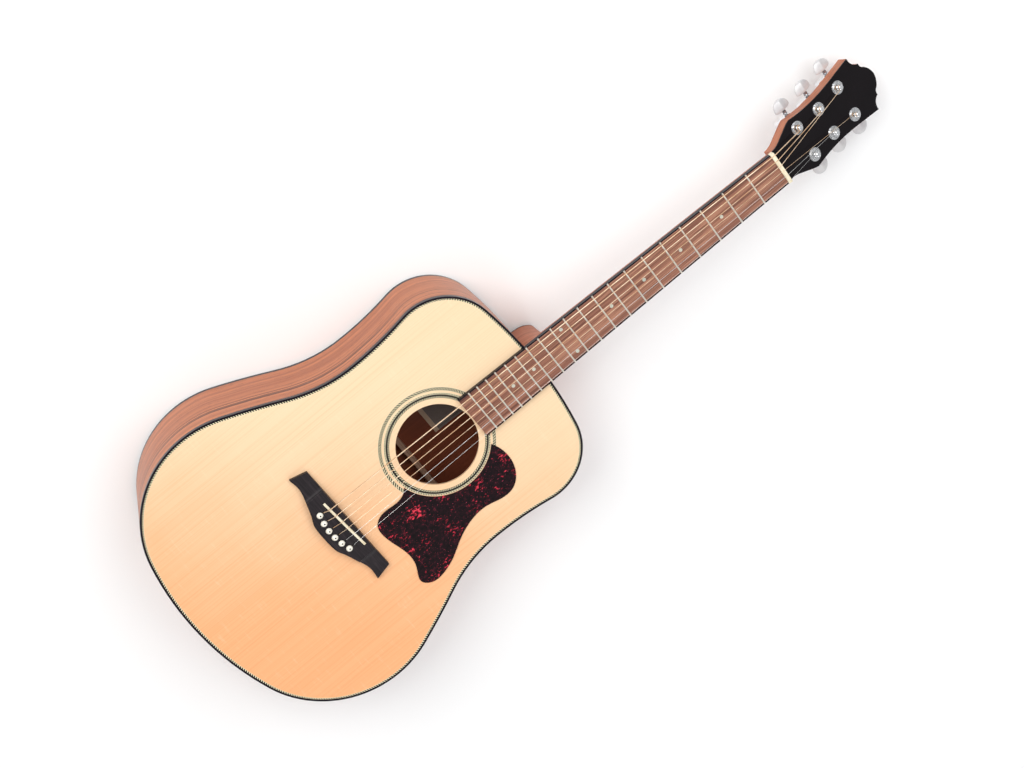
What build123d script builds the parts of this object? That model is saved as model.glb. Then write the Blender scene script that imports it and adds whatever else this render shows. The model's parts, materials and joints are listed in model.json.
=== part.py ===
from build123d import *

import os
from math import asin, atan, atan2, cos, degrees, hypot, radians, sin, sqrt, tan

# Steel-string acoustic guitar with a dreadnought body, lying on its back.
# The row frame has z = 0 at the flat back, +X along the neck and +Y on the bass side.
# Nearly every sub-part is laid out on TOP, the plane of the soundboard's face: its origin is
# on the centreline at the joint of neck and body, x runs to the head and z points outwards.

# ---- Body ----
body_length = 505.0
neck_depth = 106.0
tail_depth = 130.0
lower_bout_x = -366.0
lower_bout_half = 200.0
lower_bout_radius = 129.0
flank_radius = 1000.0
flank_angle = 68.0
waist_x = -166.0
waist_half = 140.0
upper_bout_x = -76.0
upper_bout_half = 148.3
upper_bout_radius = 69.0

top_thickness = 3.0
back_thickness = 2.8
side_thickness = 2.2
binding_width = side_thickness
binding_height = 6.0
purfling_width = 2.2
inlay_depth = 1.5
lining_width = 6.0
lining_height = 14.0
kerf_pitch = 12.0
kerf_width = 1.2

# ---- Soundhole, rosette and pickguard ----
soundhole_x = -150.4
soundhole_radius = 49.7
rosette_inner = (57.0, 63.5)
rosette_outer = (66.0, 70.3)
pickguard_thickness = 1.0
pickguard_hole_gap = 64.2

# ---- Scale, fretboard and neck ----
scale_length = 648.0
fret_count = 20
body_fret = 14
board_end_x = -99.0
board_thickness = 7.0
board_width_nut = 42.5
board_width_end = 57.4
board_binding = 1.7
crown_radius = 400.0
fret_width = 2.3
fret_height = 1.1
tang_width = 0.6
tang_depth = 2.0
fret_slot_depth = 3.2
fret_end_inset = 0.3
dot_radius = 2.2
dot_depth = 1.6
dot_frets = (3, 5, 7, 9, 15, 17)
double_dot_fret = 12
double_dot_offset = 17.0
nut_length = 5.0
nut_top = 9.4
nut_round = 0.7
string_nut_height = 8.6
neck_depth_nut = 14.5
neck_depth_heel = 17.0
heel_clearance = 4.0
heel_cap_thickness = 2.0
heel_cap_size = (26.0, 12.5)
heel_slices = ((-8.0, 58.0, 20.0), (-24.0, 42.0, 19.0), (-48.0, 31.0, 17.5), (-75.0, 27.0, 15.0))
neck_root_inset = 16.0
tenon_width = 22.0
tenon_length = 20.0
tenon_bottom = -88.0

# ---- Head and tuners ----
head_angle = 15.0
head_face_height = 1.5
veneer_thickness = 1.5
head_thickness = 16.0
head_length = 169.0
head_flank = ((0.0, 21.0), (9.0, 21.9), (20.0, 26.2), (31.0, 31.0), (41.0, 34.5))
head_waist = (85.0, 31.0)
head_corner = (148.5, 37.8)
crown_scallops = (
    ((150.3, 28.8), (158.0, 23.0)),
    ((158.6, 18.2), (161.8, 15.4)),
    ((167.0, 8.0), (head_length, 0.0)),
)
tuner_places = ((44.5, 20.0), (81.0, 17.8), (117.5, 20.2))
post_radius = 3.0
post_waist_radius = 2.3
post_height = 8.6
post_string_height = 4.6
post_clearance = 0.07
post_groove_below = 1.6
post_groove_above = 2.4
post_taper = 0.8
post_chamfer = 0.5
post_hole_radius = 0.9
post_hole_rise = 0.8
bushing_radius = 5.0
bushing_flange_radius = 7.4
bushing_flange_height = 1.6
washer_radius = 8.1
washer_thickness = 0.8
bushing_round = 0.6
housing_depth = 10.0
housing_inner_reach = 9.6
housing_reach = 13.5
housing_wall = 1.6
housing_corner = 3.5
housing_round = 1.6
housing_ear_shift = 3.0
housing_ear_rim = 1.2
gear_radius = 7.4
gear_thickness = 4.0
gear_teeth = 14
gear_notch = 0.8
gear_play = 0.6
worm_radius = 2.0
worm_offset = 9.5
worm_depth = 5.2
worm_play = 0.4
worm_pitch = 1.5
worm_side_grooves = 4
worm_groove_width = 0.7
worm_groove_depth = 0.45
shaft_radius = 1.4
button_gap = 19.0
button_length = 15.0
button_half_span = 11.5
button_thickness = 7.0
button_bore = 9.0
screw_radius = 1.1
screw_head_radius = 2.4
screw_length = 9.0
screw_head_height = 1.2

# ---- Bridge, saddle, pins and strings ----
bridge_front_x = -284.5
bridge_wing_x = -304.5
bridge_belly_x = -321.0
bridge_front_half = 77.0
bridge_rear_half = 82.5
bridge_height = 9.5
bridge_wing_height = 5.0
saddle_width = 3.0
saddle_length = 72.0
saddle_x = -291.5
saddle_slant = 4.3
saddle_top = 12.4
saddle_depth = 6.0
saddle_round = 0.6
pin_row_x = -310.5
pin_row_bend = 4.3
pin_spacing = 11.0
pin_radius = 2.5
pin_tip_radius = 2.0
pin_clearance = 0.06
pin_length = 23.0
pin_head_radius = 3.9
pin_head_height = 3.2
pin_head_rim = 0.4
pin_head_gap = 0.3
string_spacing_nut = 7.3
string_spacing_saddle = 10.48
string_radii = (0.15, 0.205, 0.305, 0.405, 0.535, 0.675)
string_rest_gap = 0.08
string_slot_width = 1.8
string_slot_play = 0.04
string_ramp_depth = 3.0
ball_radius = 2.0

# ---- Bracing and blocks ----
brace_width = 8.0
brace_height = 13.0
x_cross_x = -225.0
x_half_angle = 49.0
x_leg_length = 420.0
brace_chamfer = 2.0
tone_braces = (((-343, 105), (-378, -140)), ((-395, 130), (-435, -110)))
finger_braces = (((-262, 62), (-246, 200)), ((-300, 108), (-292, 250)))
transverse_x = -73.0
transverse_width = 12.0
transverse_height = 19.0
bridge_plate_x = -308.0
bridge_plate_length = 46.0
bridge_plate_width = 108.0
bridge_plate_thickness = 2.5
back_brace_places = (-62.0, -191.0, -300.0, -410.0)
back_brace_width = 6.5
back_brace_height = 12.0
label_x = -124.0
label_length = 60.0
label_width = 60.0
label_thickness = 0.4
neck_block_length = 45.0
neck_block_width = 72.0
tail_block_length = 20.0
tail_block_width = 72.0
rod_radius = 2.5
rod_bore = 2.9
rod_nut_radius = 4.0
rod_nut_length = 13.0
rod_start_height = -5.0
rod_end_height = -10.6
rod_end_x = -56.0
rod_nut_socket = 5.0
rod_nut_gap = 1.5

# ---- Derived planes ----
back_slope = atan((tail_depth - neck_depth) / body_length)
nut_x = scale_length * (1 - 2 ** (-body_fret / 12))
head_start_x = nut_x + nut_length
head_end_x = head_start_x + head_length * cos(radians(head_angle))
head_end_drop = head_face_height - head_length * sin(radians(head_angle))
tail_reach = body_length * cos(back_slope) + tail_depth * sin(back_slope)
head_reach = head_end_x * cos(back_slope) + head_end_drop * sin(back_slope)
TOP = Plane(
    origin=((tail_reach - head_reach) / 2, 0, neck_depth * cos(back_slope)),
    x_dir=(cos(back_slope), 0, -sin(back_slope)),
    z_dir=(sin(back_slope), 0, cos(back_slope)),
)
TOP_AXIS = Axis(TOP.origin, TOP.z_dir)


def place(x, y, z=0.0):
    """Turn a point of the soundboard's frame into the row frame."""
    return TOP.from_local_coords(Vector(x, y, z))


def profile_plane(y=0.0):
    """Lengthwise upright plane: local x runs to the head and local y out of the top."""
    return Plane(origin=place(0, y), x_dir=TOP.x_dir, z_dir=-TOP.y_dir)


def section_plane(x):
    """Crosswise upright plane: local x runs to the bass side and local y out of the top."""
    return Plane(origin=place(x, 0), x_dir=TOP.y_dir, z_dir=TOP.x_dir)


head_normal = profile_plane().from_local_coords(Vector(0, 1)) - place(0, 0)
HEAD = Plane(
    origin=place(head_start_x, 0, head_face_height),
    x_dir=TOP.x_dir.rotate(Axis.Y, head_angle),
    z_dir=head_normal.rotate(Axis.Y, head_angle),
)


def fret_x(number):
    """Place of a fret along the neck, the nut being fret 0."""
    return scale_length * (2 ** (-number / 12) - 2 ** (-body_fret / 12))


def board_half(x):
    """Half of the fretboard's width, binding included."""
    run = (nut_x - x) / (nut_x - board_end_x)
    return (board_width_nut + (board_width_end - board_width_nut) * run) / 2


def crown_drop(y):
    """How far the crowned fretboard has fallen at a distance from the centreline."""
    return crown_radius - sqrt(crown_radius**2 - y**2)


# ---- Body outline: a chain of tangent arcs ----
def outline_arcs():
    """Centre x, centre y, radius and sense of each arc of half the outline, tail to neck."""
    low_y = lower_bout_half - lower_bout_radius
    low_reach = lower_bout_x + body_length
    tail = (low_reach**2 + low_y**2 - lower_bout_radius**2) / (2 * (low_reach - lower_bout_radius))
    up_y = upper_bout_half - upper_bout_radius
    up_reach = -upper_bout_x
    neck = (up_reach**2 + up_y**2 - upper_bout_radius**2) / (2 * (up_reach - upper_bout_radius))
    flank_step = lower_bout_radius - flank_radius
    flank_x = lower_bout_x + flank_step * cos(radians(flank_angle))
    flank_y = low_y + flank_step * sin(radians(flank_angle))
    return [
        (tail - body_length, 0.0, tail, 1),
        (lower_bout_x, low_y, lower_bout_radius, 1),
        (flank_x, flank_y, flank_radius, 1),
        waist_arc(flank_x, flank_y, flank_radius),
        waist_arc(upper_bout_x, up_y, upper_bout_radius),
        (upper_bout_x, up_y, upper_bout_radius, 1),
        (-neck, 0.0, neck, 1),
    ]


def waist_arc(x, y, radius):
    """Hollow arc that is level at the waist and touches a given bout arc."""
    run = waist_x - x
    rise = waist_half - y
    hollow = (run**2 + rise**2 - radius**2) / (2 * (radius - rise))
    return (waist_x, waist_half + hollow, hollow, -1)


def outline_joints(arcs):
    """Points where the neighbouring arcs of half the outline touch, with both ends."""
    joints = [(-body_length, 0.0)]
    for (x1, y1, r1, s1), (x2, y2, r2, s2) in zip(arcs, arcs[1:]):
        if s1 == s2 == -1:
            joints.append((x1, y1 - r1))
            continue
        toward = 1 if s1 != s2 or r1 > r2 else -1
        gap = hypot(x2 - x1, y2 - y1)
        joints.append((x1 + toward * r1 * (x2 - x1) / gap, y1 + toward * r1 * (y2 - y1) / gap))
    return joints + [(0.0, 0.0)]


def body_face(inset):
    """The body's outline, moved inwards by an inset."""
    arcs = outline_arcs()
    joints = outline_joints(arcs)
    with BuildSketch() as face:
        with BuildLine():
            last = (inset - body_length, 0.0)
            for (x, y, radius, sense), start, end in zip(arcs, joints, joints[1:]):
                reach = radius - sense * inset
                spokes = [Vector(px - x, py - y).normalized() for px, py in (start, end)]
                middle = Vector(x, y) + (spokes[0] + spokes[1]).normalized() * reach
                stop = Vector(x, y) + spokes[1] * reach
                ThreePointArc(last, middle, stop)
                last = stop
            mirror(about=Plane.XZ)
        make_face()
    return face.sketch


def ring_face(outer, inner):
    """Band between two insets of the body's outline."""
    with BuildSketch() as ring:
        add(body_face(outer))
        add(body_face(inner), mode=Mode.SUBTRACT)
    return ring.sketch


os.makedirs("parts", exist_ok=True)
deep = tail_depth + 20
cavity_inset = side_thickness + lining_width

# ---- Pin and string layout ----
string_ys_nut = [(i - 2.5) * string_spacing_nut for i in range(6)]
string_ys_saddle = [(i - 2.5) * string_spacing_saddle for i in range(6)]
pin_places = []
for i in range(6):
    pin_y = (i - 2.5) * pin_spacing
    pin_places.append((pin_row_x + pin_row_bend * (pin_y / (2.5 * pin_spacing)) ** 2, pin_y))
tuner_list = [(u, -v, -1) for u, v in tuner_places] + [(u, v, 1) for u, v in reversed(tuner_places)]
slant_angle = degrees(atan(saddle_slant / saddle_length))

# ---- Soundboard with its purfling and rosette channels ----
with BuildPart() as soundboard:
    with BuildSketch(TOP.offset(-inlay_depth)):
        add(body_face(binding_width))
        with Locations((soundhole_x, 0)):
            Circle(soundhole_radius, mode=Mode.SUBTRACT)
    extrude(amount=-(top_thickness - inlay_depth))
    with BuildSketch(TOP):
        add(body_face(binding_width + purfling_width))
        with Locations((soundhole_x, 0)):
            Circle(rosette_outer[1], mode=Mode.SUBTRACT)
            Circle(rosette_outer[0])
            Circle(rosette_inner[1], mode=Mode.SUBTRACT)
            Circle(rosette_inner[0])
            Circle(soundhole_radius, mode=Mode.SUBTRACT)
    extrude(amount=-inlay_depth)
    with BuildSketch(TOP):
        with Locations(*pin_places):
            Circle(pin_radius + pin_clearance)
            with Locations((pin_radius, 0)):
                Rectangle(pin_radius, string_slot_width)
    extrude(amount=-top_thickness, mode=Mode.SUBTRACT)
soundboard.part.label = "soundboard"
export_step(soundboard.part, "parts/soundboard.step")

with BuildPart() as rosette:
    with BuildSketch(TOP):
        with Locations((soundhole_x, 0)):
            for inner, outer in (rosette_outer, rosette_inner):
                Circle(outer)
                Circle(inner, mode=Mode.SUBTRACT)
    extrude(amount=-inlay_depth)
rosette.part.label = "rosette"
export_step(rosette.part, "parts/rosette.step")

# ---- Edge trim ----
with BuildPart() as top_purfling:
    with BuildSketch(TOP):
        add(ring_face(binding_width, binding_width + purfling_width))
    extrude(amount=-inlay_depth)
top_purfling.part.label = "top_purfling"
export_step(top_purfling.part, "parts/top_purfling.step")

with BuildPart() as top_binding:
    with BuildSketch(TOP):
        add(ring_face(0, binding_width))
    extrude(amount=-binding_height)
top_binding.part.label = "top_binding"
export_step(top_binding.part, "parts/top_binding.step")

with BuildPart() as back_binding:
    with BuildSketch(TOP.offset(-neck_depth / 2)):
        add(ring_face(0, binding_width))
    extrude(amount=-deep)
    split(bisect_by=Plane.XY.offset(binding_height), keep=Keep.BOTTOM)
    split(bisect_by=Plane.XY, keep=Keep.TOP)
back_binding.part.label = "back_binding"
export_step(back_binding.part, "parts/back_binding.step")

# ---- Back and sides ----
with BuildPart() as back:
    with BuildSketch(TOP.offset(-neck_depth / 2)):
        add(body_face(binding_width))
    extrude(amount=-deep)
    split(bisect_by=Plane.XY.offset(back_thickness), keep=Keep.BOTTOM)
    split(bisect_by=Plane.XY, keep=Keep.TOP)
back.part.label = "back"
export_step(back.part, "parts/back.step")

for side_name, keep_side in (("side_bass", Keep.BOTTOM), ("side_treble", Keep.TOP)):
    with BuildPart() as side:
        with BuildSketch(TOP.offset(-binding_height)):
            add(ring_face(0, side_thickness))
            Rectangle(2 * tenon_length, tenon_width, mode=Mode.SUBTRACT)
        extrude(amount=-deep)
        split(bisect_by=Plane.XY.offset(binding_height), keep=Keep.TOP)
        split(bisect_by=Plane.XZ, keep=keep_side)
    side.part.label = side_name
    export_step(side.part, f"parts/{side_name}.step")


# ---- Linings, blocks and bracing inside the body ----
def kerf_locations(inset):
    """Places and turns of the kerfs, along every arc of both halves of the outline."""
    arcs = outline_arcs()
    joints = outline_joints(arcs)
    spots = []
    for (x, y, radius, sense), start, end in zip(arcs, joints, joints[1:]):
        reach = radius - sense * inset
        first = Vector(start[0] - x, start[1] - y)
        sweep = first.get_angle(Vector(end[0] - x, end[1] - y))
        count = int(radians(sweep) * reach / kerf_pitch)
        for step in range(1, count):
            spoke = first.normalized().rotate(Axis.Z, -sense * sweep * step / count)
            heading = degrees(atan2(spoke.Y, spoke.X))
            for half in (1, -1):
                spots.append(Location((x + spoke.X * reach, half * (y + spoke.Y * reach)), half * heading))
    return spots


def lining_face():
    """Kerfed strip round the inside of the sides, left out at both end blocks."""
    with BuildSketch() as strip:
        add(ring_face(side_thickness, cavity_inset))
        for end_x, block in ((0, neck_block_width), (-body_length, tail_block_width)):
            with Locations((end_x, 0)):
                Rectangle(2 * neck_block_length, block, mode=Mode.SUBTRACT)
        with Locations(*kerf_locations(cavity_inset)):
            Rectangle(lining_width, kerf_width, mode=Mode.SUBTRACT)
    return strip.sketch


with BuildPart() as kerfed_linings:
    with BuildSketch(TOP.offset(-top_thickness)):
        add(lining_face())
    extrude(amount=-lining_height)
    with BuildSketch(TOP.offset(-neck_depth / 2)):
        add(lining_face())
    lower = extrude(amount=-deep, mode=Mode.PRIVATE)
    lower = split(lower, bisect_by=Plane.XY.offset(back_thickness), keep=Keep.TOP, mode=Mode.PRIVATE)
    lining_top = Plane.XY.offset(back_thickness + lining_height)
    add(split(lower, bisect_by=lining_top, keep=Keep.BOTTOM, mode=Mode.PRIVATE))
kerfed_linings.part.label = "kerfed_linings"
export_step(kerfed_linings.part, "parts/kerfed_linings.step")


def rod_height(x):
    """Height of the truss rod's axis, which slopes down towards the body."""
    run = (nut_x - x) / (nut_x - rod_end_x)
    return rod_start_height + (rod_end_height - rod_start_height) * run


def rod_plane(x):
    """Plane square to the truss rod at a place along it, facing the tail."""
    axis = place(rod_end_x, 0, rod_height(rod_end_x)) - place(nut_x, 0, rod_height(nut_x))
    return Plane(origin=place(x, 0, rod_height(x)), x_dir=TOP.y_dir, z_dir=axis)


with BuildPart() as neck_block:
    with BuildSketch(TOP.offset(-top_thickness)):
        add(body_face(side_thickness))
        Rectangle(2 * neck_block_length, neck_block_width, mode=Mode.INTERSECT)
    extrude(amount=-deep)
    with BuildSketch(TOP.offset(-binding_height)):
        Rectangle(2 * tenon_length, tenon_width)
    extrude(amount=tenon_bottom + binding_height, mode=Mode.SUBTRACT)
    with BuildSketch(rod_plane(0)):
        Circle(rod_bore)
    extrude(amount=2 * neck_block_length, mode=Mode.SUBTRACT)
    split(bisect_by=Plane.XY.offset(back_thickness), keep=Keep.TOP)
neck_block.part.label = "neck_block"
export_step(neck_block.part, "parts/neck_block.step")

with BuildPart() as tail_block:
    with BuildSketch(TOP.offset(-top_thickness)):
        add(body_face(side_thickness))
        with Locations((-body_length, 0)):
            Rectangle(2 * tail_block_length, tail_block_width, mode=Mode.INTERSECT)
    extrude(amount=-deep)
    split(bisect_by=Plane.XY.offset(back_thickness), keep=Keep.TOP)
tail_block.part.label = "tail_block"
export_step(tail_block.part, "parts/tail_block.step")


def bar_face(start, end, width):
    """Straight bar seen from above, between two points, trimmed to the linings."""
    with BuildSketch() as bar:
        middle = ((start[0] + end[0]) / 2, (start[1] + end[1]) / 2)
        run, rise = end[0] - start[0], end[1] - start[1]
        with Locations(Location(middle, degrees(atan2(rise, run)))):
            Rectangle(hypot(run, rise), width)
        add(body_face(cavity_inset), mode=Mode.INTERSECT)
    return bar.sketch


with BuildPart() as x_brace:
    with BuildSketch(TOP.offset(-top_thickness)):
        for half in (1, -1):
            leg_x = x_leg_length * cos(radians(x_half_angle))
            leg_y = half * x_leg_length * sin(radians(x_half_angle))
            add(bar_face((x_cross_x - leg_x, -leg_y), (x_cross_x + leg_x, leg_y), brace_width))
    extrude(amount=-brace_height)
    chamfer(x_brace.faces().sort_by(TOP_AXIS)[0].edges(), brace_chamfer)
x_brace.part.label = "x_brace"
export_step(x_brace.part, "parts/x_brace.step")

with BuildPart() as tone_and_finger_braces:
    with BuildSketch(TOP.offset(-top_thickness)):
        for start, end in finger_braces:
            add(bar_face(start, end, brace_width))
        mirror(about=Plane.XZ)
        for start, end in tone_braces:
            add(bar_face(start, end, brace_width))
    extrude(amount=-brace_height / 2)
tone_and_finger_braces.part.label = "tone_and_finger_braces"
export_step(tone_and_finger_braces.part, "parts/tone_and_finger_braces.step")

with BuildPart() as upper_transverse_brace:
    with BuildSketch(TOP.offset(-top_thickness)):
        add(bar_face((transverse_x, -lower_bout_half), (transverse_x, lower_bout_half), transverse_width))
    extrude(amount=-transverse_height)
    with BuildSketch(rod_plane(0)):
        Circle(rod_nut_radius + rod_nut_gap)
    extrude(amount=-2 * transverse_x, mode=Mode.SUBTRACT)
upper_transverse_brace.part.label = "upper_transverse_brace"
export_step(upper_transverse_brace.part, "parts/upper_transverse_brace.step")

with BuildPart() as bridge_plate:
    with BuildSketch(TOP.offset(-top_thickness)):
        with Locations((bridge_plate_x, 0)):
            Rectangle(bridge_plate_length, bridge_plate_width)
        with Locations(*pin_places):
            Circle(pin_radius + pin_clearance, mode=Mode.SUBTRACT)
            with Locations((pin_radius, 0)):
                Rectangle(pin_radius, string_slot_width, mode=Mode.SUBTRACT)
    extrude(amount=-bridge_plate_thickness)
bridge_plate.part.label = "bridge_plate"
export_step(bridge_plate.part, "parts/bridge_plate.step")

with BuildPart() as back_braces:
    with BuildSketch(TOP.offset(-neck_depth / 2)):
        for brace_x in back_brace_places:
            add(bar_face((brace_x, -lower_bout_half), (brace_x, lower_bout_half), back_brace_width))
    extrude(amount=-deep)
    split(bisect_by=Plane.XY.offset(back_thickness), keep=Keep.TOP)
    split(bisect_by=Plane.XY.offset(back_thickness + back_brace_height), keep=Keep.BOTTOM)
back_braces.part.label = "back_braces"
export_step(back_braces.part, "parts/back_braces.step")

with BuildPart() as label:
    with BuildSketch(Plane.XY.offset(back_thickness)):
        with Locations((TOP.origin.X + label_x, 0)):
            Rectangle(label_length, label_width)
    extrude(amount=label_thickness)
label.part.label = "label"
export_step(label.part, "parts/label.step")


# ---- Pickguard ----
with BuildPart() as pickguard:
    with BuildSketch(TOP):
        with BuildLine():
            upper_angle, lower_angle = radians(-41), radians(-166)
            ring_points = []
            for angle in (lower_angle, (lower_angle + upper_angle) / 2, upper_angle):
                x = soundhole_x + pickguard_hole_gap * cos(angle)
                ring_points.append((x, pickguard_hole_gap * sin(angle)))
            ThreePointArc(*ring_points)
            outer = Spline(
                ring_points[2], (-95.5, -61), (-100, -88.5), (-115.5, -103.5), (-131, -105), (-153, -100),
                (-178.7, -102.2), (-205.4, -114), (-224, -125.5), (-243, -132.5), (-262, -132), (-270, -124),
                (-263.5, -104.6), (-261.5, -77.3), (-268, -46), (-265.5, -32), (-254, -24.5), (-233, -24.5),
                ring_points[0],
            )
        make_face()
    extrude(amount=pickguard_thickness)
pickguard.part.label = "pickguard"
export_step(pickguard.part, "parts/pickguard.step")


# ---- Bridge, saddle and bridge pins ----
def saddle_face():
    """Saddle's footprint, which is turned a little for the strings' lengths."""
    with BuildSketch() as foot:
        with Locations(Location((saddle_x, 0), slant_angle)):
            Rectangle(saddle_width, saddle_length)
    return foot.sketch


with BuildPart() as bridge:
    with BuildSketch(TOP):
        with BuildLine():
            Polyline(
                (bridge_belly_x, 0), (bridge_front_x, 0), (bridge_front_x, bridge_front_half),
                (bridge_wing_x - 1.5, bridge_rear_half),
            )
            Spline(
                (bridge_wing_x - 1.5, bridge_rear_half), (bridge_wing_x, 66), (bridge_wing_x - 4, 50),
                (bridge_belly_x + 5, 29), (bridge_belly_x, 0), tangents=((0.15, -1), (0, -1)),
            )
        make_face()
        mirror(about=Plane.XZ)
    extrude(amount=bridge_height)
    with BuildSketch(section_plane(bridge_front_x + 20)):
        with BuildLine():
            Polyline(
                (49, bridge_height), (49, bridge_height + 5), (100, bridge_height + 5),
                (100, bridge_wing_height), (70, bridge_wing_height),
            )
            Spline((70, bridge_wing_height), (60, bridge_wing_height + 0.9), (49, bridge_height),
                   tangents=((-1, 0), (-0.35, 1)))
        make_face()
        mirror(about=Plane.YZ)
    extrude(amount=-80, mode=Mode.SUBTRACT)
    fillet(bridge.faces().sort_by(TOP_AXIS)[-1].edges(), 1.0)
    with BuildSketch(TOP.offset(bridge_height)):
        add(saddle_face())
    extrude(amount=-saddle_depth, mode=Mode.SUBTRACT)
    with BuildSketch(TOP.offset(bridge_height)):
        with Locations(*pin_places):
            Circle(pin_radius + pin_clearance)
    extrude(amount=-bridge_height, mode=Mode.SUBTRACT)
    with BuildSketch(TOP):
        with Locations(*pin_places):
            with Locations((pin_radius, 0)):
                Rectangle(pin_radius, string_slot_width)
    extrude(amount=bridge_height, mode=Mode.SUBTRACT)
    with BuildSketch(TOP.offset(bridge_height - string_ramp_depth)):
        with Locations(*pin_places):
            with Locations((pin_radius + 1.2, 0)):
                Rectangle(2 * string_ramp_depth, string_slot_width)
    extrude(amount=string_ramp_depth, mode=Mode.SUBTRACT)
bridge.part.label = "bridge"
export_step(bridge.part, "parts/bridge.step")

crown_axis = Axis(place(0, 0, board_thickness - crown_radius), TOP.x_dir)
with BuildPart() as saddle:
    with BuildSketch(TOP.offset(bridge_height - saddle_depth)):
        add(saddle_face())
    extrude(amount=saddle_top - bridge_height + saddle_depth)
    with BuildSketch(section_plane(saddle_x + 20)):
        with Locations((0, saddle_top - crown_radius)):
            Circle(crown_radius)
    extrude(amount=-40, mode=Mode.INTERSECT)
    crown_edges = saddle.faces().sort_by(TOP_AXIS)[-1].edges()
    fillet(crown_edges.filter_by(Axis(place(0, 0), TOP.y_dir), reverse=True), saddle_round)
saddle.part.label = "saddle"
export_step(saddle.part, "parts/saddle.step")

head_base = bridge_height + pin_head_gap
dome_height = pin_head_height - pin_head_rim
dome_radius = (pin_head_radius**2 + dome_height**2) / (2 * dome_height)
dome_centre = head_base + pin_head_height - dome_radius
for number, (pin_x, pin_y) in enumerate(pin_places, start=1):
    pin_plane = Plane(origin=place(pin_x, pin_y), x_dir=-TOP.x_dir, z_dir=TOP.y_dir)
    with BuildPart() as bridge_pin:
        with BuildSketch(pin_plane):
            with BuildLine():
                Polyline(
                    (0, head_base + pin_head_height), (0, head_base - pin_length),
                    (pin_tip_radius - 0.6, head_base - pin_length),
                    (pin_tip_radius, head_base - pin_length + 1), (pin_radius, head_base - 8),
                    (pin_radius, head_base), (pin_head_radius - 0.3, head_base),
                    (pin_head_radius, head_base + pin_head_rim),
                )
                ThreePointArc(
                    (pin_head_radius, head_base + pin_head_rim),
                    (pin_head_radius / 2, dome_centre + sqrt(dome_radius**2 - (pin_head_radius / 2) ** 2)),
                    (0, head_base + pin_head_height),
                )
            make_face()
        revolve(axis=Axis(pin_plane.origin, TOP.z_dir))
        with BuildSketch(TOP.offset(head_base)):
            with Locations((pin_x + pin_radius, pin_y)):
                Rectangle(pin_radius, string_slot_width)
        extrude(amount=-pin_length - 1, mode=Mode.SUBTRACT)
    bridge_pin.part.label = f"bridge_pin_{number}"
    export_step(bridge_pin.part, f"parts/bridge_pin_{number}.step")


# ---- Fretboard, frets and nut ----
def board_outline(trim, start, end):
    """Tapered strip of the fretboard between two places, set in from its edges."""
    with BuildSketch() as strip:
        with BuildLine():
            Polyline(
                (start, board_half(start) - trim), (end, board_half(end) - trim),
                (end, trim - board_half(end)), (start, trim - board_half(start)), close=True,
            )
        make_face()
    return strip.sketch


def crowned(top):
    """Round bar that trims a block to the crown of the fretboard at a given height."""
    with BuildPart() as bar:
        with BuildSketch(section_plane(board_end_x - 10)):
            with Locations((0, top - crown_radius)):
                Circle(crown_radius)
        extrude(amount=nut_x - board_end_x + 40)
    return bar.part


def dot_place(number, offset=0.0):
    """Middle of the space below a fret, at a distance from the centreline."""
    return ((fret_x(number) + fret_x(number - 1)) / 2, offset)


dot_places = [dot_place(number) for number in dot_frets]
dot_places += [dot_place(double_dot_fret, side * double_dot_offset) for side in (1, -1)]
with BuildPart() as fretboard:
    with BuildSketch(TOP):
        add(board_outline(board_binding, nut_x, board_end_x))
    extrude(amount=board_thickness)
    add(crowned(board_thickness), mode=Mode.INTERSECT)
    with BuildSketch(TOP.offset(board_thickness + 1)):
        for number in range(1, fret_count + 1):
            with Locations((fret_x(number), 0)):
                Rectangle(tang_width, 2 * board_width_end)
    extrude(amount=-(fret_slot_depth + 1), mode=Mode.SUBTRACT)
    with BuildSketch(TOP.offset(board_thickness + 1)):
        with Locations(*dot_places):
            Circle(dot_radius)
    extrude(amount=-(dot_depth + 1), mode=Mode.SUBTRACT)
fretboard.part.label = "fretboard"
export_step(fretboard.part, "parts/fretboard.step")

with BuildPart() as fretboard_binding:
    with BuildSketch(TOP):
        add(board_outline(0, nut_x, board_end_x))
        add(board_outline(board_binding, nut_x + 1, board_end_x - 1), mode=Mode.SUBTRACT)
    extrude(amount=board_thickness)
    add(crowned(board_thickness), mode=Mode.INTERSECT)
fretboard_binding.part.label = "fretboard_binding"
export_step(fretboard_binding.part, "parts/fretboard_binding.step")

with BuildPart() as position_dots:
    with BuildSketch(TOP.offset(board_thickness - dot_depth)):
        with Locations(*dot_places):
            Circle(dot_radius)
    extrude(amount=dot_depth)
    add(crowned(board_thickness), mode=Mode.INTERSECT)
position_dots.part.label = "position_dots"
export_step(position_dots.part, "parts/position_dots.step")

def half_turn(x, inset):
    """Turn about the crown's axis from the centreline to near the board's edge."""
    return degrees(asin((board_half(x) - inset) / crown_radius))


with BuildPart() as frets:
    for number in range(1, fret_count + 1):
        middle = fret_x(number)
        with BuildSketch(profile_plane()):
            with BuildLine():
                left = (middle - fret_width / 2, board_thickness)
                right = (middle + fret_width / 2, board_thickness)
                ThreePointArc(left, (middle, board_thickness + fret_height), right)
                Line(right, left)
            make_face()
        revolve(axis=crown_axis, revolution_arc=half_turn(middle, fret_end_inset))
        with BuildSketch(profile_plane()):
            with Locations((middle, board_thickness - tang_depth / 2)):
                Rectangle(tang_width, tang_depth)
        revolve(axis=crown_axis, revolution_arc=half_turn(middle, board_binding))
    mirror(about=Plane.XZ)
frets.part.label = "frets"
export_step(frets.part, "parts/frets.step")

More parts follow.
